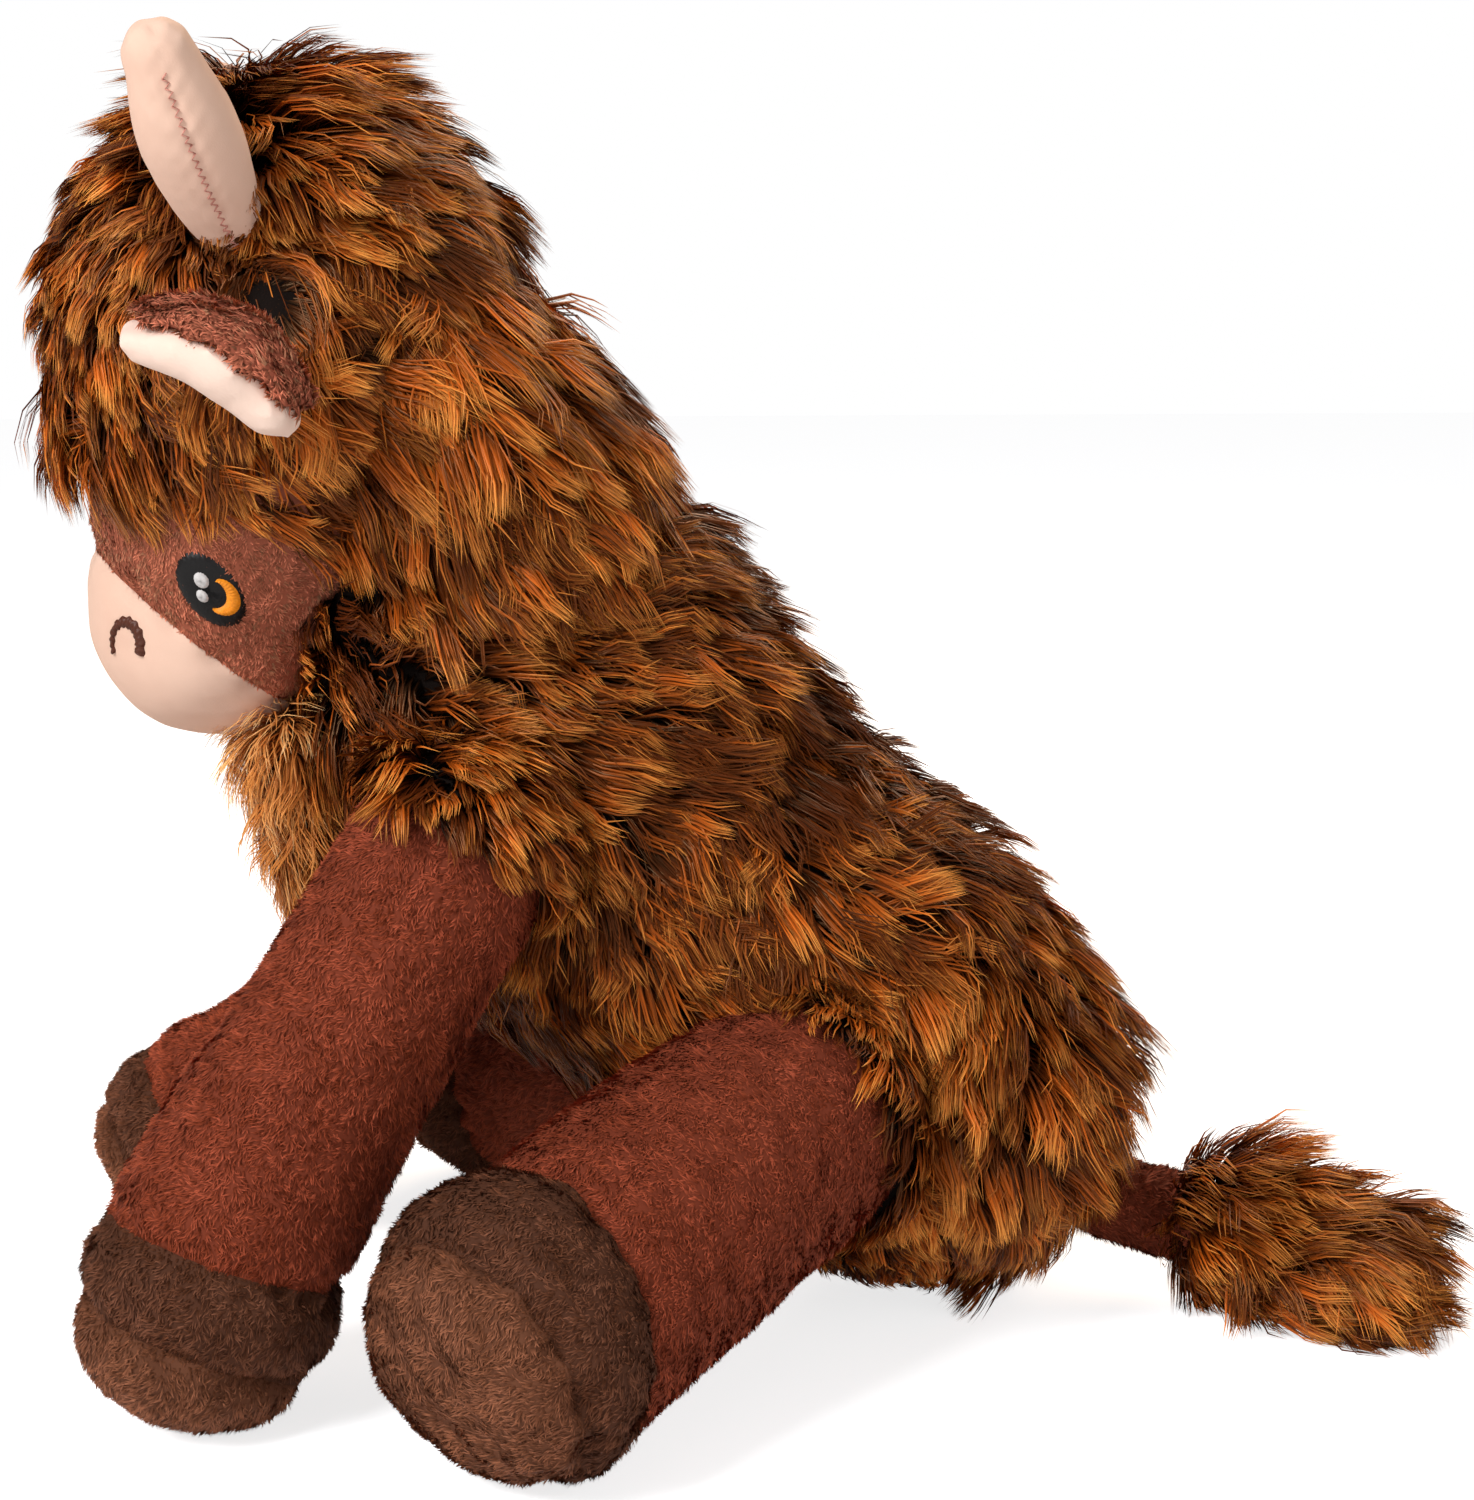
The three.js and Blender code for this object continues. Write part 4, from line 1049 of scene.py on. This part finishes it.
def add_ear(side_name, side):
    body = f"ear_{side_name}"
    root = pivots[body]
    out = unit([side * 0.97, -0.2, -0.1])
    slant = np.array([0, 0.88, -0.47])
    across = unit(slant - out * slant.dot(out))
    back = np.cross(out, across)
    upward = copysign(1, back[2])

    def pad(way, thickness):
        """One half of the ear: round on its own side of the middle, flat on the other."""
        def station(share, half, thick):
            return root + out * EAR["length"] * share - Z * 1.4 * MM, half * 0.89, thickness * thick
        stations = [station(0.3, 6.4 * MM, 0.6), station(0.48, EAR["half_width"] * 0.75, 0.9)]
        stations += [station(0.66, EAR["half_width"], 1), station(0.84, EAR["half_width"] * 0.93, 0.9)]
        half_round = lambda height: way * (np.maximum(way * height, 0) ** 0.55 + 0.04)
        return Form(stations, 3 * MM, EAR["length"] * 0.16, across, cup=EAR["cup"] * upward, rise=half_round)

    rear = pad(upward, EAR["back"] - 2.4 * MM).mesh(f"ear_back_{side_name}", 56, 36, 6)
    stuff(rear, 0.4 * MM, voxel=1.7 * MM)
    lumps(rear, 0.3 * MM, 7, 60)
    hand_in(rear, body, "ear_minky", f"ear_back_{side_name}", fill=0.6)
    nap(rear, f"ear_back_{side_name}_nap", out, body, "ear_minky", 61, 1.7 * MM, 0.55 * MM)
    front = pad(-upward, EAR["lining"]).mesh(f"ear_lining_{side_name}", 56, 36, 6)
    stuff(front, 0.5 * MM, voxel=1.7 * MM)
    lumps(front, 0.3 * MM, 12, 62)
    hand_in(front, body, "lining_plush", f"ear_lining_{side_name}", fill=0.8)
    ear_tubes.append((root, root + out * EAR["length"], 9 * MM))


for side_name, side in SIDES:
    add_horn(side_name, side)
    add_ear(side_name, side)

# Long fur of the head

CROWN = from_head(0, -3, 44)


def swirled(lay, normals, points, *waves):
    """Turns the lay of the hair one way and the other: waves are (turn, scale in mm, seed)."""
    turn = sum(share * waviness(points, scale, seed) for share, scale, seed in waves)[:, None]
    return unit(lay + np.cross(normals, lay) * turn)


def ball(name, middle, wide, deep, sides, dome_steps):
    ends = [(middle + Z * way * 0.1 * MM, wide, deep) for way in (-1, 1)]
    return Form(ends, deep, deep).mesh(name, sides, 2, dome_steps)


def inside_of(piece):
    """A test for points that lie inside a closed piece."""
    tree = tree_of(piece)

    def test(points, slack=0.0):
        result = np.zeros(len(points), bool)
        for i, point in enumerate(points):
            near, normal, _, _ = tree.find_nearest(Vector(point))
            result[i] = (Vector(point) - near).dot(normal) < slack
        return result

    return test


def head_flow(points, normals):
    away = unit(points - CROWN)
    behind = past(-14, 16, points[:, 1] - head[1])[:, None]
    low = past(4, -16, points[:, 2] - head[2])[:, None]
    away = away + behind * np.array([0, 0.95, -0.3]) + np.array([0, 0, -0.35]) + low * np.array([0, 0.6, 0])
    return swirled(across_surface(away, normals), normals, points, (0.35, 34, 70), (0.25, 15, 69))


def hollows(points):
    """1 round a horn's root, behind an ear and in the parting before a horn, falling to 0 away from them."""
    deep = np.zeros(len(points))
    for side in (1, -1):
        near_horn = from_head(side * 32, -4, 11.5)
        behind_ear = from_head(side * 33, 12, 0)
        parting = from_head(side * 20, -22, 19)
        for at, size in ((near_horn, 8), (behind_ear, 7), (parting, 5)):
            away = norm(points - at, axis=1) / (size * MM)
            deep = np.maximum(deep, np.exp(-(away**2)))
    return deep


def add_hood():
    rng = dice(71)
    skin = ball("hood_backing", head, HEAD_WIDE - BACKING, HEAD_RADIUS - BACKING, 64, 20)
    cut(skin, face_edge, faceward)
    skin.data.shade_smooth()
    hand_in(skin, "head", "long_fur", "hood_fur", "forelock_fur", fill=0.9)
    roots, normals = scatter(skin, 60000, rng)
    on_cut = (np.abs((roots - face_edge) @ faceward) < ON_CUT) & (normals @ faceward > 0.6)
    hidden = norm(roots - torso.at(0.12), axis=1) < 30 * MM
    kept = ~(on_cut | hidden)
    roots, normals = roots[kept], normals[kept]
    back = roots[:, 1] - head[1]
    forward = past(5, -30, back)
    behind = past(5, 28, back)
    top = past(24, 33, roots[:, 2] - head[2])
    top = top * past(-22, -6, back) * past(17, 4, back)
    brow = past(-11, -2, (roots - face_edge) @ faceward) * forward
    hollow = hollows(roots)
    # Painted shade: the tone is darker in the hollows, where the hair is also shorter.
    tone = 0.36 + 0.1 * forward + 0.12 * waviness(roots, 30, 72) - 0.3 * hollow
    share = (1 + 0.08 * behind - 0.32 * forward + 0.3 * top + 0.6 * brow) * (1 - 0.5 * hollow)
    coat_piece("hood_coat", "head", "long_fur", 73, roots, normals, head_flow(roots, normals), tone,
               length=17 * MM, lift=1.05 - 0.35 * behind + 0.25 * top, yaw=0.38, wave=0.7 * MM, waves=1.6,
               share=share, blocks=horn_tubes + ear_tubes)


def add_fringe(face_skin):
    """Hair that hangs from the hood's edge over the brow and the cheeks."""
    rng = dice(75)
    roots, normals = scatter(face_skin, 42000, rng)
    ahead = (roots - face_edge) @ faceward
    back = roots[:, 1] - head[1]
    cheek = past(-20, -9, back) * past(8, 16, np.abs(roots[:, 0]))
    limit = 1.5 * MM - 1 * MM * cheek
    kept = (ahead > -3 * MM) & (ahead < limit + rng.normal(0, 0.8 * MM, len(roots))) & (back < 18 * MM)
    roots, normals, cheek, back = roots[kept], normals[kept], cheek[kept], back[kept]
    front = past(-22, -32, back)
    flow = across_surface(np.stack([0 * cheek, -0.25 + 1.2 * cheek, -1 + 0 * cheek], 1), normals)
    tone = 0.5 + 0.12 * waviness(roots, 20, 76) + 0.25 * cheek
    coat_piece("fringe_coat", "head", "long_fur", 77, roots, normals, flow, tone, width=0.36 * MM,
               length=12 * MM, lift=0.95 - 0.35 * cheek + 0.3 * front, hug=0.1, yaw=0.4, wave=0.7 * MM, waves=1.2,
               lock=30, wisp=5, share=1 + 0.5 * front)


add_hood()
add_fringe(face_whole)

# Long fur of the torso, and the mane that hangs over it in a ragged step
STEP = {"y": float(SOURCE[1]) - 2 * MM, "z": 133 * MM, "tilt": 0.21}


def above_step(points):
    """How far a point lies above the mane's lower edge."""
    return points[:, 2] - STEP["z"] - STEP["tilt"] * (points[:, 1] - STEP["y"])


def torso_flow(points, normals):
    below = radians(26) + radians(50) * past(118, 25, points[:, 2])
    front = past(-20, -55, points[:, 1] - (points[:, 2] - 80 * MM) * -0.8)
    below = below + front * radians(30)
    lay = np.stack([0.15 * np.sign(points[:, 0]), np.cos(below), -np.sin(below)], 1)
    return swirled(across_surface(lay, normals), normals, points, (0.4, 38, 80), (0.28, 15, 79))


def near_legs(points, slack):
    near = [norm(points - nearest_on(points, start, end), axis=1) < radius - slack
            for start, end, radius in leg_tubes.values()]
    return np.any(near, axis=0)


def add_torso():
    rng = dice(81)
    skin = torso.mesh("torso_backing", 72, 60, 14, grow=-BACKING)
    hand_in(skin, "torso", "long_fur", "torso_fur", "torso_filling", "squeaker_bulb", "squeaker_reed", fill=0.85)
    roots, normals = scatter(skin, 82000, rng)
    rise = above_step(roots)
    kept = (norm(roots - head, axis=1) > 30 * MM) & ~near_legs(roots, 3 * MM) & (rise < 9 * MM)
    roots, normals, rise = roots[kept], normals[kept], rise[kept]
    under = past(-14, 0, rise)
    shelf = past(-34, -4, rise) * smooth(0.3, 0.8, normals[:, 1])
    rear = past(30, 52, roots[:, 1])
    resting = past(42, 20, roots[:, 2]) * (1 - rear)
    high = past(38, 52, roots[:, 2])
    low = past(20, 10, roots[:, 2])
    flank_shade = np.exp(-(((roots[:, 1] + 12 * MM) / (30 * MM)) ** 2) - ((roots[:, 2] - 92 * MM) / (26 * MM)) ** 2)
    tone = 0.3 + 0.14 * waviness(roots, 34, 82) + 0.19 * past(80, 40, roots[:, 2])
    # Painted shade: darker just under the mane's step and on the flank below the mane.
    tone = tone - 0.18 * under - 0.14 * flank_shade
    share = 1 - 0.35 * under * (1 - shelf) + rear * (0.2 * high + 0.22 * low) - 0.6 * resting
    coat_piece("torso_coat", "torso", "long_fur", 83, roots, normals, torso_flow(roots, normals), tone,
               length=17 * MM, lift=1.1 + 0.3 * shelf, hug=-0.1 - 0.3 * shelf, yaw=0.34, wave=0.8 * MM, waves=2.1,
               meet=0.48, share=share, blocks=leg_tubes.values())
    return inside_of(skin)


in_torso = add_torso()


def add_mane():
    rng = dice(85)
    places_in_mm = (14.8, -2.3, 29, 20), (28.8, -22.3, 32, 21), (35, -34.3, 33, 23.5), (38, -48.3, 35, 30.5)
    stations = [(from_head(0, y, z), wide * MM, deep * MM) for y, z, wide, deep in places_in_mm]
    skin = Form(stations, 14 * MM, 10 * MM).mesh("mane_backing", 64, 40, 10)
    cut(skin, np.array([0, STEP["y"], STEP["z"] + 6 * MM]), np.array([0, STEP["tilt"], -1]))
    skin.data.shade_smooth()
    hand_in(skin, "torso", "long_fur", fill=0.8)
    roots, normals = scatter(skin, 47000, rng)
    rise = above_step(roots) + 2.5 * MM * waviness(roots, 20, 86)
    kept = (rise > 8 * MM) & (norm(roots - head, axis=1) > 33 * MM) & (normals[:, 2] > -0.9)
    roots, normals = roots[kept], normals[kept]
    kept = ~in_torso(roots, -1.0 * MM)
    roots, normals = roots[kept], normals[kept]
    lower = past(34, 16, above_step(roots))
    lay = np.outer(np.sign(roots[:, 0]), 0.12 * X) + np.array([0, 0.64, -0.77])
    flow = swirled(across_surface(lay, normals), normals, roots, (0.28, 30, 87), (0.22, 14, 84))
    tone = 0.38 + 0.12 * waviness(roots, 30, 88)
    coat_piece("mane_coat", "torso", "long_fur", 89, roots, normals, flow, tone,
               length=21 * MM, lift=0.82 - 0.22 * lower, yaw=0.3, wave=0.8 * MM, waves=2.0, lock=46,
               share=1 - 0.12 * lower)


add_mane()

# Fur of the torso that covers the legs' round tops
SHOULDER = {"foreleg": {"radius": 17.6 * MM, "reach": -4 * MM, "length": 12 * MM},
            "hindleg": {"radius": 21.6 * MM, "reach": -3 * MM, "length": 10 * MM}}


def add_shoulder(name):
    rng = dice(120 + list(LEGS).index(name))
    sizes = SHOULDER[name.split("_")[0]]
    root = pivots[name]
    start, end, _ = leg_tubes[name]
    direction = unit(end - start)
    skin = ball(f"{name}_shoulder", root, sizes["radius"], sizes["radius"], 48, 14)
    cut(skin, root + direction * sizes["reach"], direction)
    skin.data.shade_smooth()
    hand_in(skin, "torso", "long_fur", fill=0.8)
    roots, normals = scatter(skin, 9000, rng)
    kept = (roots - root) @ direction < sizes["reach"] - ON_CUT
    roots, normals = roots[kept], normals[kept]
    kept = ~in_torso(roots, 1.0 * MM)
    roots, normals = roots[kept], normals[kept]
    flow = across_surface(direction + 0.7 * torso_flow(roots, normals), normals)
    tone = 0.3 + 0.12 * waviness(roots, 20, 130)
    coat_piece(f"{name}_shoulder_coat", "torso", "long_fur", 131, roots, normals, flow, tone,
               length=sizes["length"], lift=1.0, hug=0.1, yaw=0.3, wave=0.6 * MM, waves=1.5, lock=34, wisp=5)


for leg_name in LEGS:
    add_shoulder(leg_name)


def add_belly():
    panel = torso.mesh("belly_panel", 72, 60, 14, grow=-FUR + 2.2 * MM + 0.5 * MM)
    u = BELLY["place"]
    along, wide, deep = torso.axes(u)
    at = torso.at(u)
    cut(panel, at + deep * BELLY["below"], -deep)
    for sign in (1, -1):
        cut(panel, at + wide * sign * BELLY["half_width"], wide * sign)
        cut(panel, at + along * sign * BELLY["half_length"], along * sign)
    hand_in(panel, "torso", "belly_minky", "belly_panel", fill=0.8)
    nap(panel, "belly_panel_nap", (0, 0.3, -1), "torso", "belly_minky", 95,
        inside=lambda roots, normals: normals @ deep > 0.2)


add_belly()


def add_bib():
    rng = dice(100)
    u = BIB["place"]
    throat = torso.at(u) + torso.axes(u)[2] * torso.sizes(u)[1]
    stations = [
        (throat + Y * (3 + 10 * share) * MM - Z * BIB["length"] * share, BIB["wide"] * girth * 0.8, BIB["deep"] * 0.5)
        for share, girth in ((0, 0.9), (0.5, 1), (1, 0.6))
    ]
    core = Form(stations, 4 * MM, 5 * MM).mesh("bib_backing", 40, 20, 5)
    hand_in(core, "torso", "tan_fur", "bib_fur", fill=0.7)
    roots, normals = scatter(core, 13000, rng)
    kept = normals[:, 1] < 0.7
    roots, normals = roots[kept], normals[kept]
    flow = across_surface(np.array([0, 0.1, -1]), normals)
    tone = 0.5 + 0.1 * waviness(roots, 20, 101) - 0.5 * past(6, 14, np.abs(roots[:, 0]))
    coat_piece("bib_coat", "torso", "tan_fur", 102, roots, normals, flow, tone, width=0.3 * MM,
               length=15 * MM, lift=0.85, hug=0.1, yaw=0.5, wave=1.0 * MM, waves=1.3, lock=24, wisp=4, meet=0.25,
               share=0.7 + 0.5 * rng.random(len(roots)))


add_bib()

# Tail

def add_tail():
    rng = dice(110)
    root = pivots["tail"]
    level = cos(radians(TAIL["fall"]))
    turn = radians(TAIL["turn"])
    direction = np.array([sin(turn) * level, cos(turn) * level, -sin(radians(TAIL["fall"]))])
    radius = TAIL["radius"]
    end = root + direction * (TAIL["length"] + 4 * MM)
    sleeve = Form([(root, radius, radius), ((root + end) / 2, radius, radius), (end, radius, radius)], radius, radius)
    piece = sleeve.mesh("tail_sleeve", 40, 20, 6, grow=-0.9 * MM)
    stuff(piece, 0.6 * MM, voxel=2.2 * MM)
    lumps(piece, 0.3 * MM, 12, 111)
    hand_in(piece, "tail", "rust_minky", "tail_sleeve", "tail_filling", fill=0.85)
    nap(piece, "tail_sleeve_nap", direction, "tail", "rust_minky", 112)

    def tuft_station(share, girth, sink):
        at = root + direction * (TAIL["length"] + TUFT["length"] * share)
        tuft_radius = TUFT["radius"] * girth
        at[2] += (tuft_radius * 0.85 - FLAT_DEPTH - at[2]) * sink
        return at + X * 5 * MM * share, tuft_radius * 0.45, tuft_radius * 0.38

    stations = [tuft_station(0.1, 0.75, 0.2), tuft_station(0.36, 1, 1), tuft_station(0.62, 0.9, 1)]
    core = Form(stations, 3 * MM, 5 * MM).mesh("tail_tuft_backing", 40, 20, 5)
    hand_in(core, "tail", "long_fur", "tail_tuft", fill=0.8)
    roots, normals = scatter(core, 15000, rng)
    flow = across_surface(direction + 0.25 * X - 0.3 * Z, normals)
    start = past(14, 6, (roots - root) @ direction - TAIL["length"])
    crest = start * smooth(0.3, 0.8, normals[:, 2])
    tone = 0.36 + 0.15 * waviness(roots, 14, 113)
    coat_piece("tail_coat", "tail", "long_fur", 114, roots, normals, flow, tone,
               length=20 * MM, lift=0.8 + 0.6 * crest, hug=0.1, yaw=0.4, wave=0.9 * MM, waves=1.4, meet=0.45,
               share=1 - 0.3 * start + 0.55 * crest)


add_tail()

bpy.data.objects.remove(face_whole)
